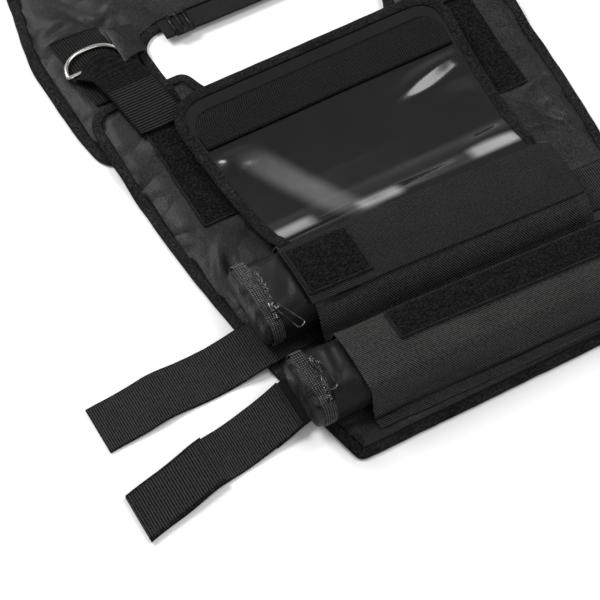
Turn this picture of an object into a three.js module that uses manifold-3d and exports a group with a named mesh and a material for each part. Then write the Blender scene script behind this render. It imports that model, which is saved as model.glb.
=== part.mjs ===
// Weighted vest, laid open flat with its outer faces up.
// X runs along the front hem, Y runs from the front hem towards the back hem, Z is up from the floor.
// The origin is under the front panel, on its centre line. Sizes are in millimetres.
import * as THREE from 'three';
import { mergeVertices } from 'three/addons/utils/BufferGeometryUtils.js';
import Module from 'manifold-3d';

const wasm = await Module();
wasm.setup();

// Driving dimensions of the panels
const frontLength = 452;
const chestHalf = 218;
const shoulderHalf = 234;
const neckGap = 115;
const backLength = 454;
const strapReach = 125;
const padding = 6;
const bindingWidth = 9;
const bindingThickness = 4;
const restFromHem = 200;
const rampLength = 38;

// Cloth, gaps and webbing
const fitGap = 0.3;
const tape = 1.8;
const pile = 1.6;
const webbingWidth = 50;
const foldSteps = 6;
const margin = 12;

// Weight bags and the sleeves round them
const bagLength = 328;
const bagEnd = 51;
const bagHeight = 39;
const upperBagWidth = 82;
const lowerBagWidth = 70;
const upperBagAt = 172;
const lowerBagAt = 71;
const sliderLength = 9;
const sliderThickness = 3;
const pullerLength = 36;
const pullerThickness = 1.5;
const bagClearance = 0.4;
const sleeveWall = 1.8;
const sleeveLength = 281;
const sleeveLeft = 140;
const bagLean = 0.03;
const pipingWidth = 9;
const zipInset = 21;
const zipWidth = 7;
const zipThickness = 2;
const loopPatchLength = 64;
const loopStripFrom = 92;

// Cover flap
const flapReach = 219;
const flapHalf = 153;
const hingePastBag = 27;
const filmThickness = 1.4;
const flapBinding = 11;
const flapBindingThickness = 3.4;
const hookStripWidth = 41;
const hookStripInset = 15;

// Shoulder loop strips, rings and webbing
const loopStripLength = 157;
const loopStripFromEdge = 12;
const loopStripInset = 41;
const ringWidth = 56;
const ringHeight = 32;
const ringWire = 4;
const ringFromMiddle = 179;
const ringBarFromNeck = 23;
const ringTabLength = 88;
const ringTabPastNeck = 33;
const webbingDrop = 89;

// Side straps
const upperStrapLength = 154;
const lowerStrapLength = 172;
const upperStrapBelowBag = 17;
const lowerStrapAboveBag = 47;
const hookPatchLength = 84;

// Neck strap
const neckWebbing = 23;
const neckStrapHalf = 103;
const neckSliderWidth = 20;
const neckSliderThickness = 2.4;

const clothBlack = { color: 0x1b1b1c, roughness: 0.85, metalness: 0 };
const twillBlack = { color: 0x202021, roughness: 0.8, metalness: 0 };
const bindingBlack = { color: 0x2a2a27, roughness: 0.85, metalness: 0 };
const webbingBlack = { color: 0x1e1e1f, roughness: 0.75, metalness: 0 };
const loopBlack = { color: 0x161617, roughness: 0.95, metalness: 0 };
const filmBlack = { color: 0x151516, roughness: 0.25, metalness: 0 };
const bagBlack = { color: 0x1a1a1c, roughness: 0.5, metalness: 0 };
const steel = { color: 0xc9c4b8, roughness: 0.25, metalness: 1 };
const zipMetal = { color: 0x1a1a1b, roughness: 0.3, metalness: 0.7 };

const frontNeckline = frontLength * 0.876;
const backNeckline = frontNeckline + neckGap;
const strapEnd = backNeckline - strapReach;
const onPanel = padding + fitGap;
const bagBase = onPanel + tape + fitGap;
const bagLeft = sleeveLeft + bagEnd;
const flapHinge = upperBagAt + hingePastBag;
const loopStripNear = frontLength - loopStripFromEdge - loopStripLength;
const ringBarAt = backNeckline - ringBarFromNeck;
const ringTabFar = backNeckline + ringTabPastNeck;

const vest = new THREE.Group();

// Shared helpers
const lerp = THREE.MathUtils.lerp;

function welded(geometry) {
  geometry.deleteAttribute('normal');
  geometry.deleteAttribute('uv');
  return mergeVertices(geometry, 1e-4);
}

function toSolid(geometry) {
  const vertProperties = new Float32Array(geometry.attributes.position.array);
  const triVerts = new Uint32Array(geometry.index.array);
  return new wasm.Manifold(new wasm.Mesh({ numProp: 3, vertProperties, triVerts }));
}

function fromSolid(solid) {
  const mesh = solid.getMesh();
  const geometry = new THREE.BufferGeometry();
  geometry.setAttribute('position', new THREE.BufferAttribute(new Float32Array(mesh.vertProperties), 3));
  geometry.setIndex(new THREE.BufferAttribute(new Uint32Array(mesh.triVerts), 1));
  return geometry;
}

function mirrored(geometry) {
  const copy = geometry.clone().scale(-1, 1, 1);
  const corners = copy.index.array;
  for (let i = 0; i < corners.length; i += 3) {
    [corners[i], corners[i + 1]] = [corners[i + 1], corners[i]];
  }
  return copy;
}

function addPiece(name, geometry, finish) {
  const mesh = new THREE.Mesh(geometry, new THREE.MeshStandardMaterial(finish));
  mesh.name = name;
  vest.add(mesh);
}

function addPair(name, geometry, finish) {
  addPiece(`left_${name}`, geometry, finish);
  addPiece(`right_${name}`, mirrored(geometry), finish);
}

// A closed block of cloth whose points are placed by a function of three shares from 0 to 1
function cloth(columns, rows, place, layers = 1) {
  const block = new THREE.BoxGeometry(1, 1, 1, columns, rows, layers);
  const spots = block.attributes.position;
  for (let i = 0; i < spots.count; i++) {
    const [x, y, z] = place(spots.getX(i) + 0.5, spots.getY(i) + 0.5, spots.getZ(i) + 0.5);
    spots.setXYZ(i, x, y, z);
  }
  return welded(block);
}

// Reads one column of a table between its rows, by straight lines
function fromTable(table, key, column, at) {
  let i = 0;
  while (i < table.length - 2 && at > table[i + 1][key]) i++;
  const share = (at - table[i][key]) / (table[i + 1][key] - table[i][key]);
  return lerp(table[i][column], table[i + 1][column], THREE.MathUtils.clamp(share, 0, 1));
}

// The corners of an outline moved inwards by one distance, with their rounding kept parallel
function inset(corners, distance) {
  const loop = THREE.ShapeUtils.isClockWise(corners) ? corners.slice().reverse() : corners;
  return loop.map((corner, i) => {
    const before = loop.at(i - 1);
    const after = loop[(i + 1) % loop.length];
    const first = new THREE.Vector2(before.y - corner.y, corner.x - before.x).normalize();
    const second = new THREE.Vector2(corner.y - after.y, after.x - corner.x).normalize();
    const middle = first.clone().add(second).normalize();
    const off = distance / middle.dot(first);
    const bulges = first.cross(second) > 0;
    const round = bulges ? Math.max(corner.round - distance, 1.5) : corner.round + distance;
    return { x: corner.x + middle.x * off, y: corner.y + middle.y * off, round };
  });
}

// The points of a closed outline whose corners are rounded off
function outline(corners, distance = 0) {
  const loop = inset(corners, distance);
  const shape = new THREE.Shape();
  loop.forEach((corner, i) => {
    const spot = new THREE.Vector2(corner.x, corner.y);
    const before = loop.at(i - 1);
    const after = loop[(i + 1) % loop.length];
    const room = Math.min(spot.distanceTo(before), spot.distanceTo(after)) * 0.48;
    const round = Math.min(corner.round, room);
    const start = new THREE.Vector2(before.x, before.y).sub(spot).setLength(round).add(spot);
    const end = new THREE.Vector2(after.x, after.y).sub(spot).setLength(round).add(spot);
    if (i === 0) shape.moveTo(start.x, start.y);
    else shape.lineTo(start.x, start.y);
    shape.quadraticCurveTo(spot.x, spot.y, end.x, end.y);
  });
  return shape.getPoints(3);
}

// A layer laid on a ground and trimmed to an outline, with an optional hole
function layer(ground, points, hole, lift, thickness) {
  const slab = cloth(ground.columns.length - 1, ground.rows.length - 1, (u, v, w) => {
    const x = ground.columns[Math.round(u * (ground.columns.length - 1))];
    const y = ground.rows[Math.round(v * (ground.rows.length - 1))];
    return [x, y, ground.height(x, y) + lift(x, y) + w * thickness(x, y)];
  });
  const shape = new THREE.Shape(points);
  if (hole) shape.holes.push(new THREE.Path(hole));
  const cutter = raised(shape, 4 * bagHeight).translate(0, 0, -bagHeight);
  return fromSolid(toSolid(slab).intersect(toSolid(cutter)));
}

// A flat outline, with any holes, raised to a thickness
const raised = (shape, depth) => welded(new THREE.ExtrudeGeometry(shape, { depth, bevelEnabled: false }));

function steps(from, to, count) {
  return Array.from({ length: count }, (_, i) => lerp(from, to, i / count));
}

const always = (value) => () => value;

// A small tab or strip that bends along a profile and runs straight across it
function bentStrip(profile, thickness, place) {
  return cloth(profile.length - 1, 1, (u, v, w) => {
    const at = Math.round(u * (profile.length - 1));
    const here = profile[at];
    const before = profile[Math.max(at - 1, 0)];
    const after = profile[Math.min(at + 1, profile.length - 1)];
    const slope = new THREE.Vector2(after.out - before.out, after.rise - before.rise).normalize();
    const off = (w - 0.5) * thickness;
    return place(here.out - slope.y * off, v, here.rise + slope.x * off);
  });
}

// Front panel: half its outline, from the hem to the neckline, as shares of the chest and the length
const frontHalf = [
  { across: 0.78, along: 0, round: 8 },
  { across: 0.83, along: 0.1, round: 18 },
  { across: 0.904, along: 0.288, round: 30 },
  { across: 0.954, along: 0.476, round: 30 },
  { across: 0.982, along: 0.642, round: 30 },
  { across: 1, along: 0.852, round: 20 },
  { across: 0.995, along: 1, round: 30 },
  { across: 0.495, along: 1, round: 10 },
  { across: 0.45, along: 0.938, round: 12 },
  { across: 0.321, along: 0.876, round: 22 },
];

// Soft dents and swells of the padded front, as shares of the chest, the length and the padding
const frontFolds = [
  { across: -0.86, along: 0.56, wide: 0.16, long: 0.05, deep: -0.27 },
  { across: -0.84, along: 0.48, wide: 0.12, long: 0.05, deep: 0.23 },
  { across: -0.9, along: 0.7, wide: 0.12, long: 0.08, deep: 0.2 },
  { across: 0.86, along: 0.56, wide: 0.16, long: 0.05, deep: -0.27 },
  { across: 0.84, along: 0.48, wide: 0.12, long: 0.05, deep: 0.23 },
  { across: 0.9, along: 0.7, wide: 0.12, long: 0.08, deep: 0.2 },
  { across: 0, along: 0.7, wide: 0.35, long: 0.16, deep: -0.2 },
];

function folded(folds, x, y, width, length) {
  return folds.reduce((sum, fold) => {
    const dx = (x / width - fold.across) / fold.wide;
    const dy = (y / length - fold.along) / fold.long;
    return sum + fold.deep * padding * Math.exp(-dx * dx - dy * dy);
  }, 0);
}

const bothSides = (half) => [
  ...half,
  ...half.map((corner) => ({ ...corner, x: -corner.x })).reverse(),
];

const frontCorners = frontHalf.map((row) => ({
  x: row.across * chestHalf,
  y: row.along * frontLength,
  round: row.round,
}));
const frontEdge = bothSides(frontCorners);
const rampEnd = strapEnd - bindingWidth;
const rampStart = rampEnd - rampLength;

const frontGround = {
  columns: [...steps(-chestHalf - margin, chestHalf + margin, 16), chestHalf + margin],
  rows: [
    ...steps(-margin, rampStart, 13),
    ...steps(rampStart, rampEnd, 4),
    ...steps(rampEnd, frontLength + margin, 2),
    frontLength + margin,
  ],
  height: (x, y) => onPanel * THREE.MathUtils.smoothstep(y, rampStart, rampEnd),
};
const frontPadding = (x, y) => padding + folded(frontFolds, x, y, chestHalf, frontLength);

function makeFront() {
  const none = always(0);
  const inner = outline(frontEdge, bindingWidth);
  const panelEdge = outline(frontEdge, bindingWidth + fitGap);
  addPiece('front_panel', layer(frontGround, panelEdge, null, none, frontPadding), clothBlack);
  const rim = layer(frontGround, outline(frontEdge), inner, none, always(bindingThickness));
  addPiece('front_binding', rim, bindingBlack);
}

// Back panel: half its outline; negative shares run down the shoulder strap, positive ones down the back
const backHalf = [
  { across: 0.735, along: 1, round: 8 },
  { across: 0.81, along: 0.85, round: 30 },
  { across: 0.87, along: 0.68, round: 40 },
  { across: 0.9, along: 0.45, round: 40 },
  { across: 0.92, along: 0.24, round: 30 },
  { across: 0.975, along: 0.12, round: 20 },
  { across: 1, along: 0.03, round: 12 },
  { across: 0.99, along: -0.6, round: 20 },
  { across: 0.955, along: -1, round: 26 },
  { across: 0.47, along: -1, round: 20 },
  { across: 0.53, along: -0.56, round: 22 },
  { across: 0.54, along: -0.1, round: 8 },
  { across: 0.48, along: 0, round: 8 },
];

// Gathers at the shoulders and a shallow middle of the padded back
const backFolds = [
  { across: -0.64, along: 0.07, wide: 0.07, long: 0.025, deep: -0.37 },
  { across: -0.52, along: 0.1, wide: 0.12, long: 0.05, deep: 0.4 },
  { across: -0.8, along: 0.12, wide: 0.12, long: 0.06, deep: 0.27 },
  { across: 0.64, along: 0.07, wide: 0.07, long: 0.025, deep: -0.37 },
  { across: 0.52, along: 0.1, wide: 0.12, long: 0.05, deep: 0.4 },
  { across: 0.8, along: 0.12, wide: 0.12, long: 0.06, deep: 0.27 },
  { across: 0, along: 0.5, wide: 0.5, long: 0.3, deep: 0.25 },
];

const backCorners = backHalf.map((row) => ({
  x: row.across * shoulderHalf,
  y: backNeckline + row.along * (row.along < 0 ? strapReach : backLength),
  round: row.round,
}));
const backEdge = bothSides(backCorners);
const backGround = {
  columns: [...steps(-shoulderHalf - margin, shoulderHalf + margin, 16), shoulderHalf + margin],
  rows: [
    ...steps(strapEnd - margin, backNeckline, 3),
    ...steps(backNeckline, backNeckline + backLength + margin, 13),
    backNeckline + backLength + margin,
  ],
  height: always(0),
};
const backPadding = (x, y) => (
  padding + folded(backFolds, x, y - backNeckline, shoulderHalf, backLength));

function makeBack() {
  const none = always(0);
  const inner = outline(backEdge, bindingWidth);
  const panelEdge = outline(backEdge, bindingWidth + fitGap);
  addPiece('back_panel', layer(backGround, panelEdge, null, none, backPadding), clothBlack);
  const rim = layer(backGround, outline(backEdge), inner, none, always(bindingThickness));
  addPiece('back_binding', rim, bindingBlack);
}

// Loop strips on the chest, which follow the panel up its ramp
function makeShoulderStrips() {
  const outer = -(chestHalf - loopStripInset);
  const strip = outline([
    { x: outer + 2, y: loopStripNear, round: 4 },
    { x: outer + webbingWidth, y: loopStripNear, round: 4 },
    { x: outer + webbingWidth, y: loopStripNear + loopStripLength, round: 4 },
    { x: outer, y: loopStripNear + loopStripLength, round: 4 },
  ]);
  const lift = (x, y) => frontPadding(x, y) + fitGap;
  addPair('shoulder_loop_strip', layer(frontGround, strip, null, lift, always(pile)), loopBlack);
}

// Shoulder fastening: a webbing tab on the back's strap, a ring on it, and webbing folded round its bar
const ringRadius = ringWire / 2;
const ringTabTop = onPanel + tape;
const ringBarZ = ringTabTop + fitGap + tape + fitGap + ringRadius;
const ringArcZ = ringTabTop + fitGap + ringRadius;

function makeRing() {
  const ring = new THREE.TorusGeometry(1, ringRadius / ringWidth, 6, 28);
  const spots = ring.attributes.position;
  const half = (ringWidth + ringWire) / 2;
  const roundness = 0.8;
  const look = 0.15;
  const wireAt = (angle) => new THREE.Vector2(
    Math.sign(Math.cos(angle)) * Math.abs(Math.cos(angle)) ** roundness * half,
    Math.max(Math.sin(angle), 0) * ringHeight,
  );
  for (let i = 0; i < spots.count; i++) {
    const angle = Math.atan2(spots.getY(i), spots.getX(i));
    const off = (Math.hypot(spots.getX(i), spots.getY(i)) - 1) * ringWidth;
    const wire = wireAt(angle);
    const run = wireAt(angle + look).sub(wireAt(angle - look)).normalize();
    const z = lerp(ringBarZ, ringArcZ, wire.y / ringHeight) + spots.getZ(i) * ringWidth;
    spots.setXYZ(i, wire.x - ringFromMiddle + run.y * off, ringBarAt + wire.y - run.x * off, z);
  }
  return welded(ring);
}

// The webbing slips sideways as it leaves the ring: shares of its drop and its width
const webbingShift = [
  { drop: 0, shift: 0 },
  { drop: 0.12, shift: 0.24 },
  { drop: 0.38, shift: 0.34 },
  { drop: 0.7, shift: 0.4 },
  { drop: 1, shift: 0.46 },
];

function makeShoulders() {
  const tabLeft = -ringFromMiddle - webbingWidth / 2 - 3;
  const tabNear = ringTabFar - ringTabLength;
  const tabEdge = outline([
    { x: tabLeft + 8, y: tabNear, round: 2 },
    { x: tabLeft + webbingWidth + 8, y: tabNear, round: 2 },
    { x: tabLeft + webbingWidth, y: ringTabFar, round: 2 },
    { x: tabLeft, y: ringTabFar, round: 2 },
  ]);
  const tabLiftUp = (x, y) => backPadding(x, y) + fitGap;
  addPair('ring_tab', layer(backGround, tabEdge, null, tabLiftUp, always(tape)), webbingBlack);
  addPair('d_ring', makeRing(), steel);

  const foldRadius = ringRadius + fitGap + tape / 2;
  const stripTop = onPanel + padding + fitGap + pile;
  const lowerLeg = stripTop + fitGap + tape / 2;
  const upperLeg = lowerLeg + tape + fitGap;
  const lowerTurn = ringBarZ - foldRadius;
  const upperTurn = ringBarZ + foldRadius;
  const turn = Array.from({ length: foldSteps + 1 }, (_, i) => {
    const angle = Math.PI * (i / foldSteps - 0.5);
    return { out: ringBarAt + foldRadius * Math.cos(angle), rise: ringBarZ + foldRadius * Math.sin(angle) };
  });
  const profile = [
    { out: ringBarAt - webbingDrop * 0.72, rise: lowerLeg },
    { out: ringBarAt - webbingDrop * 0.38, rise: lowerLeg },
    { out: ringBarAt - webbingDrop * 0.12, rise: lerp(lowerLeg, lowerTurn, 0.8) },
    ...turn,
    { out: ringBarAt - webbingDrop * 0.12, rise: lerp(upperLeg, upperTurn, 0.6) + 0.3 },
    { out: ringBarAt - webbingDrop * 0.38, rise: upperLeg + 0.2 },
    { out: ringBarAt - webbingDrop * 0.7, rise: upperLeg },
    { out: ringBarAt - webbingDrop, rise: upperLeg },
  ];
  const webbingLeft = -ringFromMiddle - webbingWidth / 2;
  const webbing = bentStrip(profile, tape, (along, across, up) => {
    const shift = fromTable(webbingShift, 'drop', 'shift', (ringBarAt - along) / webbingDrop);
    return [webbingLeft + (1 - across + shift) * webbingWidth, along, up];
  });
  addPair('shoulder_webbing', webbing, webbingBlack);

  const overRing = ringBarZ + ringRadius + fitGap + 1;
  const keeper = bentStrip([
    { out: -ringFromMiddle + ringWidth * 0.44, rise: overRing },
    { out: -ringFromMiddle + ringWidth * 0.62, rise: overRing },
    { out: -ringFromMiddle + ringWidth * 0.78, rise: onPanel + 4 },
    { out: -ringFromMiddle + ringWidth * 0.94, rise: onPanel + 2.2 },
  ], 2, (along, across, up) => [along, ringBarAt + ringHeight * lerp(0.34, 1.3, across), up]);
  addPair('ring_keeper', keeper, clothBlack);
}

// Each weight bag sags towards its right end: shares of its length, width and height
const bagSections = [
  { along: 0, wide: 0.93, high: 0.9 },
  { along: 0.02, wide: 1, high: 0.99 },
  { along: 0.14, wide: 1, high: 1 },
  { along: 0.4, wide: 1, high: 1 },
  { along: 0.7, wide: 1, high: 0.9 },
  { along: 0.98, wide: 1, high: 0.8 },
  { along: 1, wide: 0.94, high: 0.72 },
];
const bagSquareness = 0.3;

// The place of a point on a rounded section round a bag, from two shares between -1 and 1
function roundBag(bag, x, p, q, clear, foot) {
  const along = (x + bagLeft) / bagLength;
  const halfWide = (bag.width / 2) * fromTable(bagSections, 'along', 'wide', along) + clear;
  const halfHigh = (bagHeight / 2) * fromTable(bagSections, 'along', 'high', along) + clear;
  const lean = -bagLean * (x + sleeveLeft);
  const open = foot !== undefined && q < 0;
  const pull = open ? 1 : Math.sqrt(1 - bagSquareness * q * q);
  const middle = bagBase + halfHigh - clear;
  const rise = halfHigh * q * Math.sqrt(1 - bagSquareness * p * p);
  const z = open ? lerp(middle, foot, -q) : middle + rise;
  return [x, bag.at + lean + halfWide * p * pull, z];
}

function makeBag(bag) {
  return cloth(bagSections.length - 1, 4, (u, v, w) => {
    const x = -bagLeft + bagSections[Math.round(u * (bagSections.length - 1))].along * bagLength;
    return roundBag(bag, x, v * 2 - 1, w * 2 - 1, 0);
  }, 4);
}

// A cloth arch over a bag, open at both ends, from one foot to the other
const archWalk = [
  { p: -1, q: -1 },
  { p: -1, q: 0 },
  { p: -1, q: 0.5 },
  { p: -1, q: 1 },
  { p: -0.5, q: 1 },
  { p: 0, q: 1 },
  { p: 0.5, q: 1 },
  { p: 1, q: 1 },
  { p: 1, q: 0.5 },
  { p: 1, q: 0 },
  { p: 1, q: -1 },
];

// The places along a bag where its section changes, between two ends
function stations(from, to) {
  const between = bagSections.map((row) => row.along * bagLength - bagLeft);
  return [from, ...between.filter((x) => x > from + 1 && x < to - 1), to];
}

function makeArch(bag, from, to, clear, wall, foot) {
  const xs = stations(from, to);
  return cloth(xs.length - 1, archWalk.length - 1, (u, v, w) => {
    const { p, q } = archWalk[Math.round(v * (archWalk.length - 1))];
    return roundBag(bag, xs[Math.round(u * (xs.length - 1))], p, q, clear + w * wall, foot);
  });
}

// A flat piece lying on top of an arch, between two shares of its width
function onArch(bag, from, to, near, far, level, thickness) {
  const xs = stations(from, to);
  const folds = archWalk.filter((row) => row.q === 1 && row.p > near && row.p < far);
  const ps = [near, ...folds.map((row) => row.p), far];
  return cloth(xs.length - 1, ps.length - 1, (u, v, w) => {
    const x = xs[Math.round(u * (xs.length - 1))];
    const [, y, z] = roundBag(bag, x, ps[Math.round(v * (ps.length - 1))], 1, level);
    return [x, y, z + w * thickness];
  });
}

const upperBag = {
  name: 'upper', at: upperBagAt, width: upperBagWidth, sliderAt: -0.32, pullerTurn: -1.05,
};
const lowerBag = {
  name: 'lower', at: lowerBagAt, width: lowerBagWidth, sliderAt: 0.42, pullerTurn: -1.45,
};
const archTop = bagClearance + sleeveWall;
const sleeveRight = sleeveLength - sleeveLeft;

function makeZip(bag) {
  const zipX = -bagLeft + zipInset;
  const zip = cloth(1, 8, (u, v, w) => {
    const [, y, z] = roundBag(bag, zipX, lerp(-0.92, 0.62, v), 1, fitGap);
    return [zipX + (u - 0.5) * zipWidth, y, z + w * zipThickness];
  });
  addPiece(`${bag.name}_zip`, zip, zipMetal);

  const sliderShape = new THREE.Shape(outline([
    { x: -zipWidth / 2, y: -sliderLength / 2, round: 2 },
    { x: zipWidth / 2, y: -sliderLength / 2, round: 2 },
    { x: zipWidth / 2 + 1, y: sliderLength / 2, round: 2 },
    { x: -zipWidth / 2 - 1, y: sliderLength / 2, round: 2 },
  ]));
  const [, sliderY, sliderZ] = roundBag(bag, zipX, bag.sliderAt, 1, fitGap);
  const zipTop = sliderZ + zipThickness + fitGap + 0.4;
  const slider = raised(sliderShape, sliderThickness);
  slider.translate(zipX, sliderY, zipTop);
  addPiece(`${bag.name}_zip_slider`, slider, zipMetal);

  const pullerShape = new THREE.Shape(outline([
    { x: 0, y: -3, round: 2 },
    { x: pullerLength, y: -5.5, round: 3.5 },
    { x: pullerLength, y: 5.5, round: 3.5 },
    { x: 0, y: 3, round: 2 },
  ]));
  pullerShape.holes.push(new THREE.Path(outline([
    { x: 2.5, y: -1.6, round: 1 },
    { x: pullerLength - 2, y: -3.8, round: 2.4 },
    { x: pullerLength - 2, y: 3.8, round: 2.4 },
    { x: 2.5, y: 1.6, round: 1 },
  ])));
  const puller = raised(pullerShape, pullerThickness);
  puller.rotateZ(bag.pullerTurn);
  puller.translate(zipX, sliderY, zipTop + sliderThickness + fitGap);
  addPiece(`${bag.name}_zip_puller`, puller, zipMetal);
}

function makeBags() {
  for (const bag of [upperBag, lowerBag]) {
    addPiece(`${bag.name}_weight_bag`, makeBag(bag), bagBlack);
    const start = -bagLeft + bagLength * bagSections[1].along;
    const piping = makeArch(bag, start, start + pipingWidth, bagClearance, pile, bagBase + tape);
    addPiece(`${bag.name}_bag_piping`, piping, bindingBlack);
    const foot = onPanel;
    const sleeve = makeArch(bag, -sleeveLeft, sleeveRight, bagClearance, sleeveWall, foot);
    addPiece(`${bag.name}_sleeve`, sleeve, twillBlack);
    makeZip(bag);
  }
}

// The twill band over the upper sleeve, the loop patch on it and the loop strip on the lower sleeve
const bandFar = 0.72;
const bandNear = -0.9;

function makeSleeveTrim() {
  const level = archTop + fitGap;
  const band = onArch(upperBag, -sleeveLeft - 2, sleeveRight, bandNear, bandFar, level, tape);
  addPiece('hinge_band', band, twillBlack);
  const patchLevel = level + tape + fitGap;
  const patch = onArch(upperBag, -sleeveLeft, loopPatchLength - sleeveLeft, -0.68, 0.68, patchLevel, pile);
  addPiece('upper_loop_patch', patch, loopBlack);
  const strip = onArch(lowerBag, -loopStripFrom, sleeveRight - 3, -0.1, 0.94, level, pile);
  addPiece('lower_loop_strip', strip, loopBlack);
}

// Cover flap, folded up: it leaves the upper sleeve's far shoulder and settles on the chest.
// Shares of its reach and of the weight bag's top; its waves are shares of its size and the padding
const flapFall = [
  { along: 0, height: 1.068 },
  { along: 0.05, height: 1.042 },
  { along: 0.085, height: 0.918 },
  { along: 0.13, height: 0.717 },
  { along: 0.22, height: 0.517 },
  { along: 0.36, height: 0.401 },
  { along: 0.52, height: 0.348 },
  { along: 0.68, height: 0.359 },
  { along: 0.84, height: 0.435 },
  { along: 0.92, height: 0.447 },
  { along: 1.04, height: 0.456 },
];
const flapWaves = [
  { across: -0.35, along: 0.3, wide: 0.3, long: 0.16, deep: 0.43 },
  { across: 0.5, along: 0.36, wide: 0.3, long: 0.14, deep: 0.37 },
  { across: 0.1, along: 0.55, wide: 0.35, long: 0.16, deep: 0.3 },
];
const flapGround = {
  columns: [...steps(-flapHalf - margin, flapHalf + margin, 12), flapHalf + margin],
  rows: flapFall.map((row) => flapHinge + row.along * flapReach),
  height: (x, y) => {
    const fall = fromTable(flapFall, 'along', 'height', (y - flapHinge) / flapReach);
    return fall * (bagBase + bagHeight) + folded(flapWaves, x, y - flapHinge, flapHalf, flapReach);
  },
};

// The flap's two sides spread a little from its hinge to its free edge
const flapLeft = (share) => -flapHalf * lerp(0.9, 1, share);
const flapRight = (share) => flapHalf * lerp(0.84, 1, share);

function makeFlap() {
  const edge = [
    { x: flapLeft(0), y: flapHinge, round: 3 },
    { x: flapRight(0), y: flapHinge, round: 3 },
    { x: flapRight(1), y: flapHinge + flapReach, round: 44 },
    { x: flapLeft(1), y: flapHinge + flapReach, round: 44 },
  ];
  const toHinge = (distance, hinge) => outline(edge, distance).map((point) => {
    const atHinge = point.y < flapHinge + flapBinding + 4;
    return new THREE.Vector2(point.x, atHinge ? hinge : point.y);
  });
  const film = toHinge(flapBinding + fitGap, flapHinge);
  const openCut = toHinge(flapBinding, flapHinge - flapBinding);
  const sag = (filmThickness - flapBindingThickness) / 2;
  addPiece('cover_flap', layer(flapGround, film, null, always(0), always(filmThickness)), filmBlack);
  const whole = toSolid(layer(flapGround, outline(edge), null, always(sag), always(flapBindingThickness)));
  const cutter = raised(new THREE.Shape(openCut), 4 * bagHeight).translate(0, 0, -bagHeight);
  addPiece('flap_binding', fromSolid(whole.subtract(toSolid(cutter))), bindingBlack);

  const stripFar = 1 - (flapBinding + hookStripInset) / flapReach;
  const stripNear = stripFar - hookStripWidth / flapReach;
  const stripInset = flapBinding + 3;
  const stripRows = [
    { share: stripNear, round: 5 },
    { share: lerp(stripNear, stripFar, 0.38), round: 10 },
  ];
  const roundEnd = 18;
  const strip = outline([
    ...stripRows.map(({ share, round }) => (
      { x: flapRight(share) - stripInset, y: flapHinge + share * flapReach, round })),
    { x: flapRight(stripFar) - stripInset - roundEnd, y: flapHinge + stripFar * flapReach, round: 14 },
    { x: flapLeft(stripFar) + stripInset + roundEnd, y: flapHinge + stripFar * flapReach, round: 14 },
    ...stripRows.map(({ share, round }) => (
      { x: flapLeft(share) + stripInset, y: flapHinge + share * flapReach, round })).reverse(),
  ]);
  const lift = always(filmThickness + fitGap);
  addPiece('flap_hook_strip', layer(flapGround, strip, null, lift, always(pile)), loopBlack);
}

// Side straps lie over the panel under a bag, cross its edge and run out along the floor.
// Distances past the panel's edge are in strap widths, falls are shares of the drop to the floor,
// and lifts are in tape thicknesses
const halfTape = tape / 2;
const join = tape + fitGap;
const strapFall = [
  { past: -0.6, fall: 1, lift: 0 },
  { past: -0.24, fall: 1, lift: 0 },
  { past: 0.04, fall: 0.86, lift: 0 },
  { past: 0.32, fall: 0.36, lift: 0 },
  { past: 0.64, fall: 0, lift: 0 },
  { past: 1.3, fall: 0, lift: 0 },
  { past: 1.9, fall: 0, lift: 1.3 },
  { past: 2.6, fall: 0, lift: 0.3 },
];
const rootRows = 5;

// The lower strap is sewn on top of its root and comes down past the root's end
const joinedFall = [
  { past: 0.06, fall: 0.84, lift: 1.7 },
  { past: 0.32, fall: 0.36, lift: 1.4 },
  { past: 0.68, fall: 0, lift: 1.17 },
  { past: 0.96, fall: 0, lift: 0.7 },
  { past: 1.4, fall: 0, lift: 0 },
  { past: 2, fall: 0, lift: 0.9 },
  { past: 2.68, fall: 0, lift: 0 },
];
const hookPatchLie = [
  { back: 1, lift: 1 },
  { back: 0.8, lift: 0.9 },
  { back: 0.44, lift: 0.1 },
  { back: 0, lift: 0 },
];

function strapRows(rows, edge) {
  return rows.map(({ past, fall, lift }) => (
    { out: edge + past * webbingWidth, rise: halfTape + fall * onPanel + lift * tape }));
}

function strapAt(middle, slope) {
  return (out, across, up) => [-out, middle - slope * out + (0.5 - across) * webbingWidth, up];
}

function sideStraps(root) {
  const start = { out: root, rise: onPanel + halfTape };
  const upperEdge = chestHalf * 0.935;
  const lowerEdge = chestHalf * 0.895;
  const upperEnd = { out: upperEdge + upperStrapLength, rise: halfTape };
  const lowerEnd = { out: lowerEdge + lowerStrapLength, rise: halfTape };
  const upperAt = strapAt(upperBagAt - upperStrapBelowBag, 0.042);
  const lowerAt = strapAt(lowerBagAt + lowerStrapAboveBag, 0.2);
  const patch = hookPatchLie.map(({ back, lift }) => (
    { out: lowerEnd.out - back * hookPatchLength, rise: halfTape + join + lift * tape }));
  const upperRun = [start, ...strapRows(strapFall, upperEdge), upperEnd];
  const rootRun = [start, ...strapRows(strapFall, lowerEdge).slice(0, rootRows)];
  const lowerRun = [...strapRows(joinedFall, lowerEdge), lowerEnd];
  return {
    upper_side_strap: bentStrip(upperRun, tape, upperAt),
    lower_strap_root: bentStrip(rootRun, tape, lowerAt),
    lower_side_strap: bentStrip(lowerRun, tape, lowerAt),
    lower_hook_patch: bentStrip(patch, tape, lowerAt),
  };
}

function makeSideStraps() {
  for (const [name, geometry] of Object.entries(sideStraps(sleeveLeft + 2))) {
    addPiece(`left_${name}`, geometry, webbingBlack);
  }
  for (const [name, geometry] of Object.entries(sideStraps(sleeveRight + 2))) {
    addPiece(`right_${name}`, mirrored(geometry), webbingBlack);
  }
}

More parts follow.
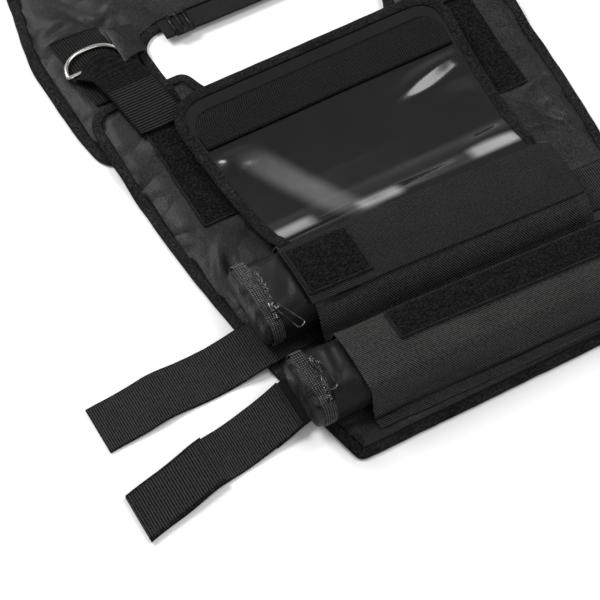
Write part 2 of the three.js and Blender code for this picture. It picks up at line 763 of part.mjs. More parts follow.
// Narrow webbing along the back neckline, with a slider on it
function makeNeckStrap() {
  const near = backNeckline - neckWebbing * 0.62;
  const strap = cloth(8, 2, (u, v, w) => [
    lerp(-neckStrapHalf, neckStrapHalf, u),
    near + neckWebbing * v - Math.sin(u * Math.PI) * 2,
    onPanel + w * tape,
  ]);
  addPiece('neck_strap', strap, webbingBlack);
  const sliderWide = neckSliderWidth;
  const sliderLong = neckWebbing + 4;
  const slot = sliderWide * 0.13;
  const frame = new THREE.Shape(outline([
    { x: -sliderWide / 2, y: -sliderLong / 2, round: 3 },
    { x: sliderWide / 2, y: -sliderLong / 2, round: 3 },
    { x: sliderWide / 2, y: sliderLong / 2, round: 3 },
    { x: -sliderWide / 2, y: sliderLong / 2, round: 3 },
  ]));
  for (const side of [-1, 1]) {
    const middle = side * sliderWide * 0.22;
    frame.holes.push(new THREE.Path(outline([
      { x: middle - slot, y: -neckWebbing / 2, round: 1 },
      { x: middle + slot, y: -neckWebbing / 2, round: 1 },
      { x: middle + slot, y: neckWebbing / 2, round: 1 },
      { x: middle - slot, y: neckWebbing / 2, round: 1 },
    ])));
  }
  const slider = raised(frame, neckSliderThickness);
  slider.translate(-neckStrapHalf + sliderWide, near + neckWebbing / 2 - 1, onPanel + tape + fitGap);
  addPiece('neck_slider', slider, steel);
}

makeFront();
makeBack();
makeShoulderStrips();
makeShoulders();
makeBags();
makeSleeveTrim();
makeFlap();
makeSideStraps();
makeNeckStrap();

vest.position.y = -restFromHem;

export default vest;
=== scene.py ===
# Weighted vest laid open on a pale floor, dressed over its solids. Everything is in metres, in the solids' frame.
import bpy
import bmesh
import math
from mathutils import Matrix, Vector, noise
from mathutils.bvhtree import BVHTree
from mathutils.kdtree import KDTree


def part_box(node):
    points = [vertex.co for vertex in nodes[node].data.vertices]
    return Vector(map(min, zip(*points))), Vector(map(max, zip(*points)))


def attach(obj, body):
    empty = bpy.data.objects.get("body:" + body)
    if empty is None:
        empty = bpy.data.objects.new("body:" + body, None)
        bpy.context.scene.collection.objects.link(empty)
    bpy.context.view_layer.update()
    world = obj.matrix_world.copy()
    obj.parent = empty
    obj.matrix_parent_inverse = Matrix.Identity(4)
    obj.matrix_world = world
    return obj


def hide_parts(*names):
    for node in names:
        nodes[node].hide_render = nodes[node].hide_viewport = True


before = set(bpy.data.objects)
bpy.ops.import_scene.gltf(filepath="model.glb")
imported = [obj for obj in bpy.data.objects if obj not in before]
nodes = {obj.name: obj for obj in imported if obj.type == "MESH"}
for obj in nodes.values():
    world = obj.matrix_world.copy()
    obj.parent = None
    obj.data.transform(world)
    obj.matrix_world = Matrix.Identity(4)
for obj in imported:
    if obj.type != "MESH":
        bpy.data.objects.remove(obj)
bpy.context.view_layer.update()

scene = bpy.context.scene
mm = 0.001
restFromHem = 200  # the row frame's origin stands this far behind the front hem
sides = ((-1, "left"), (1, "right"))

# Camera at the photograph's angle
camera = {"place": (-0.7943, -1.2159, 2.0967), "aim": (-0.1342, -0.0251, 0), "lens": 164.5}
eye = bpy.data.objects.new("camera", bpy.data.cameras.new("camera"))
eye.data.lens = camera["lens"]
eye.data.sensor_width = 36
eye.data.clip_end = 50
eye.location = camera["place"]
eye.rotation_euler = (Vector(camera["aim"]) - eye.location).to_track_quat("-Z", "Y").to_euler()
scene.collection.objects.link(eye)
scene.camera = eye
print("stage: camera")


# Shader maths: a socket that can stand in sums
class Wire:
    def __init__(self, finish, socket):
        self.finish, self.socket = finish, socket

    def sum(self, kind, first, *rest):
        return self.finish.add("ShaderNodeMath", {"operation": kind}, dict(enumerate((first, *rest))))

    def awayFrom(self, middle):
        return self.sum("ABSOLUTE", self - middle)

    def __add__(self, other):
        return self.sum("ADD", self, other)

    def __radd__(self, other):
        return self.sum("ADD", other, self)

    def __sub__(self, other):
        return self.sum("SUBTRACT", self, other)

    def __rsub__(self, other):
        return self.sum("SUBTRACT", other, self)

    def __mul__(self, other):
        return self.sum("MULTIPLY", self, other)

    def __rmul__(self, other):
        return self.sum("MULTIPLY", other, self)


class Finish:
    def __init__(self, name, **fixed):
        self.material = bpy.data.materials.new(name)
        self.material.use_nodes = True
        self.tree = self.material.node_tree
        self.shader = self.tree.nodes["Principled BSDF"]
        for socket, value in fixed.items():
            self.shader.inputs[socket.replace("_", " ")].default_value = value

    def plug(self, socket, value):
        if isinstance(value, Wire):
            self.tree.links.new(value.socket, socket)
        else:
            socket.default_value = value

    def add(self, kind, settings, sockets, out=0):
        node = self.tree.nodes.new(kind)
        for key, value in settings.items():
            setattr(node, key, value)
        for key, value in sockets.items():
            self.plug(node.inputs[key], value)
        return Wire(self, node.outputs[out])

    def coords(self, kind):
        place = self.add("ShaderNodeTexCoord", {}, {}, kind)
        return place, *[self.add("ShaderNodeSeparateXYZ", {}, {0: place}, i) for i in range(3)]

    def noise(self, place, scale, detail=2.0, roughness=0.5):
        return self.add("ShaderNodeTexNoise", {}, {
            "Vector": place, "Scale": scale, "Detail": detail, "Roughness": roughness})

    def stretched(self, place, scale, turn=(0, 0, 0)):
        return self.add("ShaderNodeMapping", {}, {"Vector": place, "Scale": scale, "Rotation": turn})

    def wave(self, run, pitch):  # 0 to 1 and back once in each pitch
        return 0.5 + 0.5 * run.sum("SINE", run * (2 * math.pi / pitch))

    def near(self, run, middle, half, soft):  # 1 within half of the middle, 0 past half + soft
        return self.add("ShaderNodeMapRange", {"interpolation_type": "SMOOTHSTEP"}, {
            "Value": run.awayFrom(middle), "From Min": half, "From Max": half + soft, "To Min": 1.0, "To Max": 0.0})

    def ramp(self, value, low, high, start=0.0, end=1.0):
        return self.add("ShaderNodeMapRange", {}, {
            "Value": value, "From Min": low, "From Max": high, "To Min": start, "To Max": end})

    def mixed(self, share, first, second):
        return self.add("ShaderNodeMix", {"data_type": "RGBA"}, {0: share, 6: first, 7: second}, 2)

    def shaded(self, tone, low, high, dark, light, warm):
        return self.mixed(self.ramp(tone, low, high), grey(dark, warm), grey(light, warm))

    def feed(self, colour, roughness, height, depth):
        self.plug(self.shader.inputs["Base Color"], colour)
        self.plug(self.shader.inputs["Roughness"], roughness)
        bump = self.add("ShaderNodeBump", {}, {"Height": height, "Strength": 1.0, "Distance": depth})
        self.plug(self.shader.inputs["Normal"], bump)
        return self.material


def grey(shade, warm=0.0):
    return (shade * (1 + warm), shade, shade * (1 - warm), 1)


# Plain weave of the panels, the bags' nylon and their piping: pitch and depth of the weave in millimetres
woven = {
    "panel_cloth": {
        "dark": 0.001, "light": 0.021, "pitch": 1.8, "deep": 0.2, "grain": 480, "weave": 0.15, "low": 0.58},
    "bag_cloth": {
        "dark": 0.002, "light": 0.007, "pitch": 0.9, "deep": 0.1, "grain": 600, "weave": 0.1, "low": 0.6},
    "piping": {
        "dark": 0.001, "light": 0.085, "pitch": 2.2, "deep": 0.5, "grain": 520, "weave": 0.6, "low": 0.74},
}
creasing = {"scale": 12, "stretch": (1, 1.6, 1), "turn": (0, 0, 0.5), "sharp": 75, "soft": 8}


def wovenCloth(name, roughness=0.42, gloss=0.14):
    look = woven[name]
    cloth = Finish(name, Specular_IOR_Level=gloss, Sheen_Weight=0.02, Sheen_Roughness=0.5)
    place, x, y, z = cloth.coords("Object")
    side = y + z
    weave = cloth.wave(x, look["pitch"] * mm) * cloth.wave(side, look["pitch"] * mm)
    speckle = cloth.noise(place, look["grain"], 3.0, 0.7)
    cloud = cloth.noise(place, 16, 3.0, 0.6)
    tone = speckle + weave * look["weave"] + cloud * 0.4
    colour = cloth.shaded(tone, look["low"], look["low"] + 0.3, look["dark"], look["light"], 0.01)
    folded = cloth.stretched(place, creasing["stretch"], creasing["turn"])
    crease = cloth.noise(folded, creasing["scale"], 2.0, 0.45).awayFrom(0.5)
    height = weave + speckle * 1.4 + crease * creasing["sharp"] + cloud * creasing["soft"]
    return cloth.feed(colour, roughness - 0.12 * cloud, height, look["deep"] * mm)


# Twill of the sleeves and the band, on UVs in metres
def twillCloth(name, light):
    cloth = Finish(name, Specular_IOR_Level=0.07, Sheen_Weight=0.01, Sheen_Roughness=0.5)
    place, u, v = cloth.coords("UV")[:3]
    run = u * 0.80 + v * 0.60
    rib = cloth.wave(run, 1.85 * mm)
    thread = cloth.wave(v * 0.80 - u * 0.60, 0.9 * mm)
    speckle = cloth.noise(place, 380, 3.0, 0.7)
    cloud = cloth.noise(place, 22, 3.0, 0.6)
    tone = rib * 0.5 + thread * 0.1 + speckle * 0.9 + cloud * 0.25
    colour = cloth.shaded(tone, 0.6, 1.05, 0.001, light, 0.02)
    return cloth.feed(colour, 0.8 - 0.1 * cloud, rib + thread * 0.3 + speckle, 0.45 * mm)


# Tape whose own UVs run along it in metres: ribs across it, and stitches near its edges
def tapeCloth(name, size, pitch, deep, dark, light, selvedge, stitch=(), stitchEnds=(), warm=0.01, plain=None):
    length, width = size
    cloth = Finish(name, Specular_IOR_Level=0.07, Sheen_Weight=0.01, Sheen_Roughness=0.5)
    place, u, v = cloth.coords("UV")[:3]
    stray = cloth.noise(place, 60, 2.0)
    rib = cloth.wave(u + stray * (0.5 * mm), pitch * mm)
    thread = cloth.wave(v, 0.95 * mm)
    speckle = cloth.noise(place, 380, 3.0, 0.7)
    cloud = cloth.noise(place, 30, 3.0, 0.6)
    fromEdge = width / 2 - v.awayFrom(width / 2)
    edge = cloth.near(fromEdge, 0.0, selvedge * mm, 0.5 * mm)
    if plain:  # a stretch of the tape that shows its smooth side
        smoothed = cloth.near(u, plain[0] * mm, plain[1] * mm, 5 * mm)
        edge = edge.sum("MAXIMUM", edge, smoothed)
    tone = rib * (0.5 - 0.4 * edge) + thread * 0.1 + speckle * 0.8 + cloud * 0.2
    height = rib * (1 - 0.7 * edge) + thread * 0.25 + speckle * 0.5
    fromEnd = length / 2 - u.awayFrom(length / 2)
    seams = [(fromEdge, inset, u) for inset in stitch] + [(fromEnd, inset, v) for inset in stitchEnds]
    for border, inset, run in seams:
        line = cloth.near(border, inset * mm, 0.35 * mm, 0.35 * mm)
        dash = cloth.near(cloth.wave(run, 3.2 * mm), 1.0, 0.62, 0.2)
        height = height - line * 1.3 + line * dash * 2.0
        tone = tone - line * 0.35 + line * dash * 0.5
    colour = cloth.shaded(tone, 0.55, 1.0, dark, light, warm)
    return cloth.feed(colour, 0.8 - 0.1 * cloud, height, deep * mm)


# Loop pile: a felted fuzz of small curls, flatter along its stitched border
pileLook = {"dark": 0.001, "light": 0.015, "border": 2.6}


def pileCloth(name, size, comb=0.0):
    length, width = size
    pile = Finish(name, Specular_IOR_Level=0.05, Sheen_Weight=0.01, Sheen_Roughness=0.6)
    place, u, v = pile.coords("UV")[:3]
    curl = pile.noise(place, 400, 4.0, 0.75)
    clump = pile.noise(pile.stretched(place, (1, 1 - comb, 1)), 95, 3.0, 0.65)
    across, along = width / 2 - v.awayFrom(width / 2), length / 2 - u.awayFrom(length / 2)
    fromEdge = across.sum("MINIMUM", across, along)
    flat = pile.near(fromEdge, 0.0, (pileLook["border"] - 0.4) * mm, 0.6 * mm)
    line = pile.near(fromEdge, pileLook["border"] * mm, 0.3 * mm, 0.4 * mm)
    dash = pile.near(pile.wave(u + v, 3.0 * mm), 1.0, 0.6, 0.25)
    tone = curl * 1.05 + clump * 0.25 - line * 0.3 + flat * 0.12 + line * dash * 0.35
    colour = pile.shaded(tone, 0.58, 0.86, pileLook["dark"], pileLook["light"], 0.01)
    height = curl * (2.2 - 1.6 * flat) + clump * 1.4 - line * 1.1 + line * dash * 0.9
    return pile.feed(colour, 0.92, height, 0.5 * mm)


# Glossy film: a slanting blotchy band of painted highlight, and patches of painted highlight by the hinge at (across,
# half width, along) in millimetres
filmLook = {
    "clear": grey(0.001), "cloudy": grey(0.004), "painted_highlight": grey(0.42),
    "highlight_patches": ((-30, 14, 14), (-112, 12, 25), (96, 18, 17)),
}


def filmPlastic(name):
    film = Finish(name, Specular_IOR_Level=0.26, Coat_Weight=0.4, Coat_Roughness=0.1)
    place, x, y = film.coords("Object")[:3]
    cloud = film.noise(place, 11, 3.0, 0.55)
    grain = film.noise(place, 900, 2.0, 0.6)
    crease = film.noise(film.stretched(place, (1, 2.2, 1), (0, 0, 0.3)), 13, 2.5, 0.5)
    # Painted highlights: a pale colour laid in a slanting band and in patches by the hinge, where the lamps'
    # reflections show on the film
    highlightSlant = (x + 75 * mm) * 0.92 + (y - 64 * mm) * 0.4
    paintedHighlight = film.near(highlightSlant, 0.0, 4 * mm, 17 * mm) * film.near(y, 66 * mm, 44 * mm, 30 * mm) * 0.3
    for middle, half, level in filmLook["highlight_patches"]:
        paintedHighlight = paintedHighlight + film.near(x, middle * mm, half * mm, 14 * mm) * film.near(y, level * mm, 3 * mm, 9 * mm)
    colour = film.mixed(paintedHighlight * cloud, film.mixed(cloud, filmLook["clear"], filmLook["cloudy"]), filmLook["painted_highlight"])
    return film.feed(colour, film.ramp(cloud, 0.3, 0.7, 0.15, 0.22), crease + grain * 0.01, 0.9 * mm)


def metal(name, shade, roughness, warm=0.0, worn=0.0, grain=180):
    steel = Finish(name, Metallic=1.0, Specular_IOR_Level=0.5)
    place = steel.coords("Object")[0]
    cloud = steel.noise(place, grain, 3.0, 0.6)
    spots = steel.ramp(cloud, 0.45, 0.65) if worn else cloud
    scratch = steel.noise(steel.stretched(place, (1, 6, 1)), 900, 2.0, 0.7)
    colour = steel.mixed(spots, grey(shade * 0.7, warm), grey(shade * (1 + worn), warm))
    return steel.feed(colour, roughness + 0.12 * scratch, cloud + scratch * 0.4, 0.03 * mm)


print("stage: materials")


def hem(x, y, z=0.0):  # millimetres from the front hem's middle to the row frame's metres
    return Vector((x * mm, (y - restFromHem) * mm, z * mm))


def smoothstep(value, low, high):
    share = min(max((value - low) / (high - low), 0), 1)
    return share * share * (3 - 2 * share)


# A column of a table, between the rows on each side of a place along it
def blended(rows, at, column):
    i = 0
    while i < len(rows) - 2 and at > rows[i + 1]["along"]:
        i += 1
    share = (at - rows[i]["along"]) / (rows[i + 1]["along"] - rows[i]["along"])
    return rows[i][column] + (rows[i + 1][column] - rows[i][column]) * min(max(share, 0), 1)


def mix(first, second, share):
    return first + (second - first) * share


def drift(x, y, z):  # smooth noise, the same each run
    return noise.noise(Vector((x, y, z)))


# Places a finished mesh on the frame
def addPiece(name, bm, finish, replaced, thickness=None, rounds=0, closed=False):
    if not closed:
        bm.normal_update()
        if sum(face.normal.z * face.calc_area() for face in bm.faces) < 0:
            bmesh.ops.reverse_faces(bm, faces=bm.faces)
    else:
        bmesh.ops.recalc_face_normals(bm, faces=bm.faces)
    for face in bm.faces:
        face.smooth = True
    data = bpy.data.meshes.new(name)
    bm.to_mesh(data)
    bm.free()
    data.materials.append(finish)
    piece = bpy.data.objects.new(name, data)
    scene.collection.objects.link(piece)
    if thickness:
        wall = piece.modifiers.new("wall", "SOLIDIFY")
        wall.thickness = thickness * mm
        wall.offset = -1
    if rounds:
        edge = piece.modifiers.new("edge", "BEVEL")
        edge.width = rounds * mm
        edge.segments = 2
        edge.limit_method = "ANGLE"
        edge.angle_limit = math.radians(50)
    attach(piece, "root")
    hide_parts(*replaced)
    return piece


# A grid whose points are placed by two shares; its UVs are in metres
def gridMesh(columns, rows, place, size):
    bm = bmesh.new()
    uv = bm.loops.layers.uv.new("weave")
    bmesh.ops.create_grid(bm, x_segments=columns, y_segments=rows, size=0.5)
    shares = {vert: (vert.co.x + 0.5, vert.co.y + 0.5) for vert in bm.verts}
    for face in bm.faces:
        for loop in face.loops:
            u, v = shares[loop.vert]
            loop[uv].uv = (u * size[0], v * size[1])
    for vert, (u, v) in shares.items():
        vert.co = place(u, v)
    return bm


def mergedCopy(*names):
    bm = bmesh.new()
    for name in names:
        bm.from_mesh(nodes[name].data)
    bmesh.ops.remove_doubles(bm, verts=bm.verts, dist=0.00002)
    return bm


# The height of the solids' top at a place, or of a dressed piece's, in metres
def struck(tree, x, y):
    return tree.ray_cast(Vector((x, y, 0.3)), Vector((0, 0, -1)))[0]


def topOf(*names):
    bm = mergedCopy(*names)
    tree = BVHTree.FromBMesh(bm)
    bm.free()
    return lambda x, y: (struck(tree, x, y) or tree.find_nearest(Vector((x, y, 0.02)))[0]).z


def dressedTop(piece):
    tree = BVHTree.FromObject(piece, bpy.context.evaluated_depsgraph_get())

    def height(x, y):
        hit = struck(tree, x, y)
        return hit.z if hit else -1
    return height


# Closed outline with rounded corners, in millimetres
def rounded(corners, steps=6):
    area = sum(a[0] * b[1] - b[0] * a[1] for a, b in zip(corners, corners[1:] + corners[:1]))
    loop = list(corners) if area > 0 else list(reversed(corners))
    points = []
    for i, (x, y, radius) in enumerate(loop):
        spot = Vector((x, y))
        before, after = Vector(loop[i - 1][:2]), Vector(loop[(i + 1) % len(loop)][:2])
        radius = min(radius, min((before - spot).length, (after - spot).length) * 0.48)
        start = spot + (before - spot).normalized() * radius
        end = spot + (after - spot).normalized() * radius
        for k in range(steps + 1):
            t = k / steps
            points.append(start * (1 - t) ** 2 + spot * 2 * t * (1 - t) + end * t ** 2)
    return points


def runLengths(path):
    lengths = [0.0]
    for a, b in zip(path, path[1:]):
        lengths.append(lengths[-1] + (b - a).length)
    return lengths


def pointAt(path, lengths, at):
    i = 0
    while i < len(path) - 2 and lengths[i + 1] < at:
        i += 1
    return path[i].lerp(path[i + 1], (at - lengths[i]) / max(lengths[i + 1] - lengths[i], 1e-9))


# Points spaced evenly along a path, with the length of the whole
def spaced(points, step, closed):
    path = points + points[:1] if closed else points
    lengths = runLengths(path)
    count = max(int(lengths[-1] / step), 2)
    return [pointAt(path, lengths, lengths[-1] * k / count) for k in range(count + 1)], lengths[-1]


def onPath(path, share, closed):
    at = share * (len(path) - 1)
    i = min(int(at), len(path) - 2)
    spot = path[i].lerp(path[i + 1], at - i)
    before = path[i - 1] if i > 0 else (path[-2] if closed else path[0])
    after = path[i + 2] if i + 2 < len(path) else (path[1] if closed else path[-1])
    return spot, (after - before).normalized()


# Tape swept round an edge: the section's rows are (inwards, up) in millimetres
def sweptTape(name, outline, section, ground, finish, replaced, wobble, closed=True):
    path, length = spaced(outline, 3.0, closed)
    width = runLengths([Vector(spot) for spot in section])[-1]

    def place(u, v):
        spot, run = onPath(path, u, closed)
        i = min(int(v * (len(section) - 1)), len(section) - 2)
        share = v * (len(section) - 1) - i
        inwards = mix(section[i][0], section[i + 1][0], share)
        up = mix(section[i][1], section[i + 1][1], share)
        inner = Vector((-run.y, run.x))
        wave = drift(spot.x * 0.05, spot.y * 0.05, 3.1) * wobble
        ripple = drift(spot.x * 0.16, spot.y * 0.16, 7.7) * wobble * 0.5
        point = spot + inner * (inwards + wave * (1 if inwards < 2 else 0.4))
        return hem(point.x, point.y, 0) + Vector((0, 0, ground(spot.x, spot.y) + (up * (1 + 0.1 * ripple)) * mm))

    rows = (len(section) - 1) * 2
    bm = gridMesh(len(path) - 1, rows, place, (length * mm, width * mm))
    bmesh.ops.remove_doubles(bm, verts=bm.verts, dist=0.00001)
    return addPiece(name, bm, finish, replaced)


# A round rod along a closed loop of places
def sweptRod(points, radius, facets):
    path, length = spaced(points, radius * 0.9, True)

    def place(u, v):
        spot, run = onPath(path, u, True)
        side = run.cross(Vector((0, 0, 1))).normalized()
        up = side.cross(run)
        angle = 2 * math.pi * v
        return spot + side * (math.cos(angle) * radius) + up * (math.sin(angle) * radius)

    bm = gridMesh(len(path) - 1, facets, place, (length, 2 * math.pi * radius))
    bmesh.ops.remove_doubles(bm, verts=bm.verts, dist=0.00001)
    return bm


# Sizes repeated from the solids, in millimetres
size = {
    "chestHalf": 218, "frontLength": 452, "shoulderHalf": 234, "neckline": 510.95, "backLength": 454,
    "strapReach": 125, "onPanel": 6.3, "padding": 6, "rampStart": 338.95, "rampEnd": 376.95,
}
frontHalf = [
    (0.78, 0, 8), (0.83, 0.1, 18), (0.904, 0.288, 30), (0.954, 0.476, 30), (0.982, 0.642, 30), (1, 0.852, 20),
    (0.995, 1, 30), (0.495, 1, 10), (0.45, 0.938, 12), (0.321, 0.876, 22),
]
backHalf = [
    (0.735, 1, 8), (0.81, 0.85, 30), (0.87, 0.68, 40), (0.9, 0.45, 40), (0.92, 0.24, 30), (0.975, 0.12, 20),
    (1, 0.03, 12), (0.99, -0.6, 20), (0.955, -1, 26), (0.47, -1, 20), (0.53, -0.56, 22), (0.54, -0.1, 8),
    (0.48, 0, 8),
]


def bothSides(half):
    return half + [(-x, y, radius) for x, y, radius in reversed(half)]


frontEdge = bothSides([(x * size["chestHalf"], y * size["frontLength"], r) for x, y, r in frontHalf])
backEdge = bothSides([
    (x * size["shoulderHalf"], size["neckline"] + y * (size["strapReach"] if y < 0 else size["backLength"]), r)
    for x, y, r in backHalf])


def flatGround(x, y):
    return 0.0


def frontRise(x, y):
    return size["onPanel"] * smoothstep(y, size["rampStart"], size["rampEnd"]) * mm


# Folds, as rows of x and y from the hem's middle, turn in degrees, length along, width across and depth
def foldHeight(folds, x, y):
    total = 0
    for foldX, foldY, degrees, long, wide, deep in folds:
        turn = math.radians(degrees)
        dx, dy = x - foldX, y - foldY
        along = (dx * math.cos(turn) + dy * math.sin(turn)) / long
        across = (dy * math.cos(turn) - dx * math.sin(turn)) / wide
        if abs(along) < 3 and abs(across) < 3:
            total += deep * math.exp(-along * along - across * across)
    return total


# A soft solid's copy, remeshed; then blown up a little by the cloth solver and capped
def softCopy(names, voxel):
    bm = mergedCopy(*names)
    data = bpy.data.meshes.new("soft")
    bm.to_mesh(data)
    bm.free()
    source = bpy.data.objects.new("soft", data)
    scene.collection.objects.link(source)
    grid = source.modifiers.new("grid", "REMESH")
    grid.mode = "VOXEL"
    grid.voxel_size = voxel * mm
    graph = bpy.context.evaluated_depsgraph_get()
    mesh = bpy.data.meshes.new_from_object(source.evaluated_get(graph))
    bpy.data.objects.remove(source)
    return mesh


puff = {"quality": 4, "mass": 0.3, "tension_stiffness": 12, "bending_stiffness": 0.4, "use_pressure": True}
puffFrames = 20


def puffed(mesh, pressure, cap, held):
    body = bpy.data.objects.new("puff", mesh)
    scene.collection.objects.link(body)
    rest = [vert.co.copy() for vert in mesh.vertices]
    pins = body.vertex_groups.new(name="pins")
    for i, spot in enumerate(rest):
        pins.add([i], held(spot), "REPLACE")
    cloth = body.modifiers.new("puff", "CLOTH")
    for key, value in puff.items():
        setattr(cloth.settings, key, value)
    cloth.settings.uniform_pressure_force = pressure
    cloth.settings.vertex_group_mass = "pins"
    cloth.settings.effector_weights.gravity = 0
    cloth.point_cache.frame_start, cloth.point_cache.frame_end = 1, puffFrames
    for step in range(puffFrames):
        scene.frame_set(step + 1)
    graph = bpy.context.evaluated_depsgraph_get()
    moved = [vert.co.copy() for vert in body.evaluated_get(graph).data.vertices]
    scene.frame_set(1)
    bm = bmesh.new()
    bm.from_mesh(mesh)
    bm.verts.ensure_lookup_table()
    for i, vert in enumerate(bm.verts):
        step = moved[i] - rest[i]
        limit = cap(rest[i]) * mm
        vert.co = rest[i] + step * (min(1, limit / step.length) if step.length > 0 else 0)
        vert.co.z = max(vert.co.z, 0)
    bpy.data.objects.remove(body)
    return bm


def softBody(names, voxel, pressure, cap, held):
    mesh = softCopy(names, voxel)
    bm = puffed(mesh, pressure, cap, held)
    bmesh.ops.subdivide_edges(bm, edges=bm.edges, cuts=1, use_grid_fill=True)
    bmesh.ops.smooth_vert(bm, verts=bm.verts, factor=0.5, use_axis_x=True, use_axis_y=True, use_axis_z=True)
    bm.normal_update()
    return bm


# Padded panels
panels = {
    "front": {
        "edge": frontEdge, "voxel": 4.5, "rise": frontRise,
        "folds": [
            (-198, 226, 66, 26, 5, -3.6), (-184, 236, 58, 24, 6, 3.2), (-174, 233, 80, 16, 4, -3.4),
            (-196, 178, 100, 26, 5, -1.8), (-186, 170, 96, 24, 6, 1.6), (-178, 252, 20, 28, 8, 1.5),
            (-176, 100, 82, 22, 5, -1.6), (-190, 330, 86, 40, 9, 1.2), (-200, 290, 20, 16, 7, 1.0),
            (188, 279, 10, 18, 5, 4.2), (184, 254, -72, 17, 6, 4.6), (188, 228, -60, 15, 5, 4.4),
            (171, 244, -60, 15, 6.5, -4.0), (163, 231, -25, 15, 5, 4.0), (186, 380, -80, 40, 8, 1.8),
            (196, 330, 88, 46, 8, 1.2), (0, 22, 2, 260, 2.2, -1.5), (0, 16, 2, 260, 3.4, 1.4),
            (-110, 10, 20, 26, 5, -1.0), (40, 12, -14, 30, 5, 0.9),
        ],
    },
    "back": {
        "edge": backEdge, "voxel": 5.0, "rise": flatGround,
        "folds": [
            (-159, 545, -80, 9, 3.2, -3.4), (-149, 544, 31, 9, 3.2, -3.4), (-152, 552, -20, 9, 6, 2.6),
            (-168, 558, -62, 16, 4.5, -3.0), (-146, 572, -55, 26, 7, 2.8), (-196, 548, 12, 34, 5, 2.4),
            (-128, 560, 30, 30, 7, 2.0), (-176, 560, 150, 30, 7, 1.8), (-206, 560, 20, 22, 7, 1.6),
            (-218, 528, 60, 20, 6, -1.6), (-206, 446, 95, 46, 7, 1.4), (-214, 470, 100, 30, 5, -1.3),
            (-112, 600, 40, 60, 14, 1.5), (-60, 560, 160, 50, 10, 1.3), (152, 552, 105, 16, 4, -3.2),
            (140, 566, 120, 26, 6, 2.4), (176, 560, 30, 30, 7, 1.8), (214, 470, 80, 30, 5, -1.3),
            (60, 640, 20, 80, 16, 1.2), (-70, 720, 110, 90, 14, 1.0), (90, 800, 70, 80, 14, 1.0),
        ],
    },
}


seamBand = 14  # millimetres along the outline that the solver holds still
softness = {"pinch": 2.3, "pucker": 0.35, "wave": 0.8, "ripple": 0.3}


def makePanel(which):
    panel = panels[which]
    path = spaced(rounded(panel["edge"]), 1.5, True)[0]
    edge = KDTree(len(path))
    for i, spot in enumerate(path):
        edge.insert((spot.x, spot.y, 0), i)
    edge.balance()

    def fromEdge(spot):
        return edge.find((spot.x / mm, spot.y / mm + restFromHem, 0))[2]

    def held(spot):
        return 1.0 if fromEdge(spot) < seamBand or spot.z < 2 * mm else 0.0

    bm = softBody([f"{which}_panel"], panel["voxel"], 1.5, lambda spot: 1.2, held)
    for vert in bm.verts:
        x, y = vert.co.x / mm, vert.co.y / mm + restFromHem
        away = fromEdge(vert.co)
        high = min(max((vert.co.z - panel["rise"](x, y)) / (size["padding"] * mm), 0), 1.3)
        pinch = -softness["pinch"] * (1 - smoothstep(away, 8.5, 20))
        pucker = softness["pucker"] * drift(x * 0.11, y * 0.11, 1.3) * (1 - smoothstep(away, 12, 40))
        soft = softness["wave"] * drift(x * 0.018, y * 0.018, 4.2)
        soft += softness["ripple"] * drift(x * 0.05, y * 0.05, 9.2)
        lift = pinch + pucker + smoothstep(away, 9, 24) * (foldHeight(panel["folds"], x, y) + soft)
        vert.co.z += max(lift, 0.6 - size["padding"]) * high * mm
    piece = addPiece(f"{which}_padding", bm, panelFinish, [f"{which}_panel"], closed=True)
    return piece


panelFinish = wovenCloth("panel_cloth")
frontPanel = makePanel("front")
backPanel = makePanel("back")
print("stage: panels")

# Binding tapes folded over the panels' edges: (inwards, up) from the outer edge
edgeTape = {"width": 29, "section": [
    (15.0, 0.9), (11.5, 2.0), (9.6, 2.9), (9.2, 4.0), (7.5, 4.5), (4.5, 4.7),
    (2.0, 4.4), (0.5, 3.4), (0.0, 2.2), (0.4, 1.0), (1.6, 0.3), (9.0, 0.1)]}
bindingFinish = tapeCloth("edge_tape", (2.0, edgeTape["width"] * mm), pitch=1.6, deep=0.4, dark=0.001, light=0.06,
                          selvedge=20, stitch=(8.6,), warm=0.03)
for word, edge, ground, wobble in (("front", frontEdge, frontRise, 0.7), ("back", backEdge, flatGround, 0.9)):
    sweptTape(f"{word}_edge_tape", rounded(edge), edgeTape["section"], ground, bindingFinish,
              [f"{word}_binding"], wobble)
print("stage: bindings")


# A flat piece laid on the solids between four corners: near left, near right, far right, far left
def laidPiece(name, node, corners, finish, thickness, under):
    nearLeft, nearRight, farRight, farLeft = [Vector(c) for c in corners]
    length, width = (nearRight - nearLeft).length, (farLeft - nearLeft).length
    cadTop, ground = topOf(node), dressedTop(under)

    def spread(u, v):
        return hem(*nearLeft.lerp(nearRight, u).lerp(farLeft.lerp(farRight, u), v))

    def place(u, v):
        spot, inner = spread(u, v), spread(0.01 + 0.98 * u, 0.02 + 0.96 * v)
        spot.z = max(cadTop(inner.x, inner.y), ground(spot.x, spot.y) + (thickness + 0.25) * mm)
        return spot

    bm = gridMesh(int(length / 2.5), int(width / 2.5), place, (length * mm, width * mm))
    return addPiece(name, bm, finish, [node], thickness, rounds=0.3)


def mirroredCorners(corners, side):
    if side < 0:
        return corners
    flipped = [(-x, y) for x, y in corners]
    return [flipped[1], flipped[0], flipped[3], flipped[2]]


# Chest strips of loop pile
chestCorners = [(-175, 283), (-127, 283), (-127, 440), (-177, 440)]
for side, word in sides:
    finish = pileCloth(f"{word}_chest_pile", (0.05, 0.157), comb=0.35)
    laidPiece(f"{word}_chest_strip", f"{word}_shoulder_loop_strip", mirroredCorners(chestCorners, side),
              finish, 1.4, frontPanel)
print("stage: chest strips")

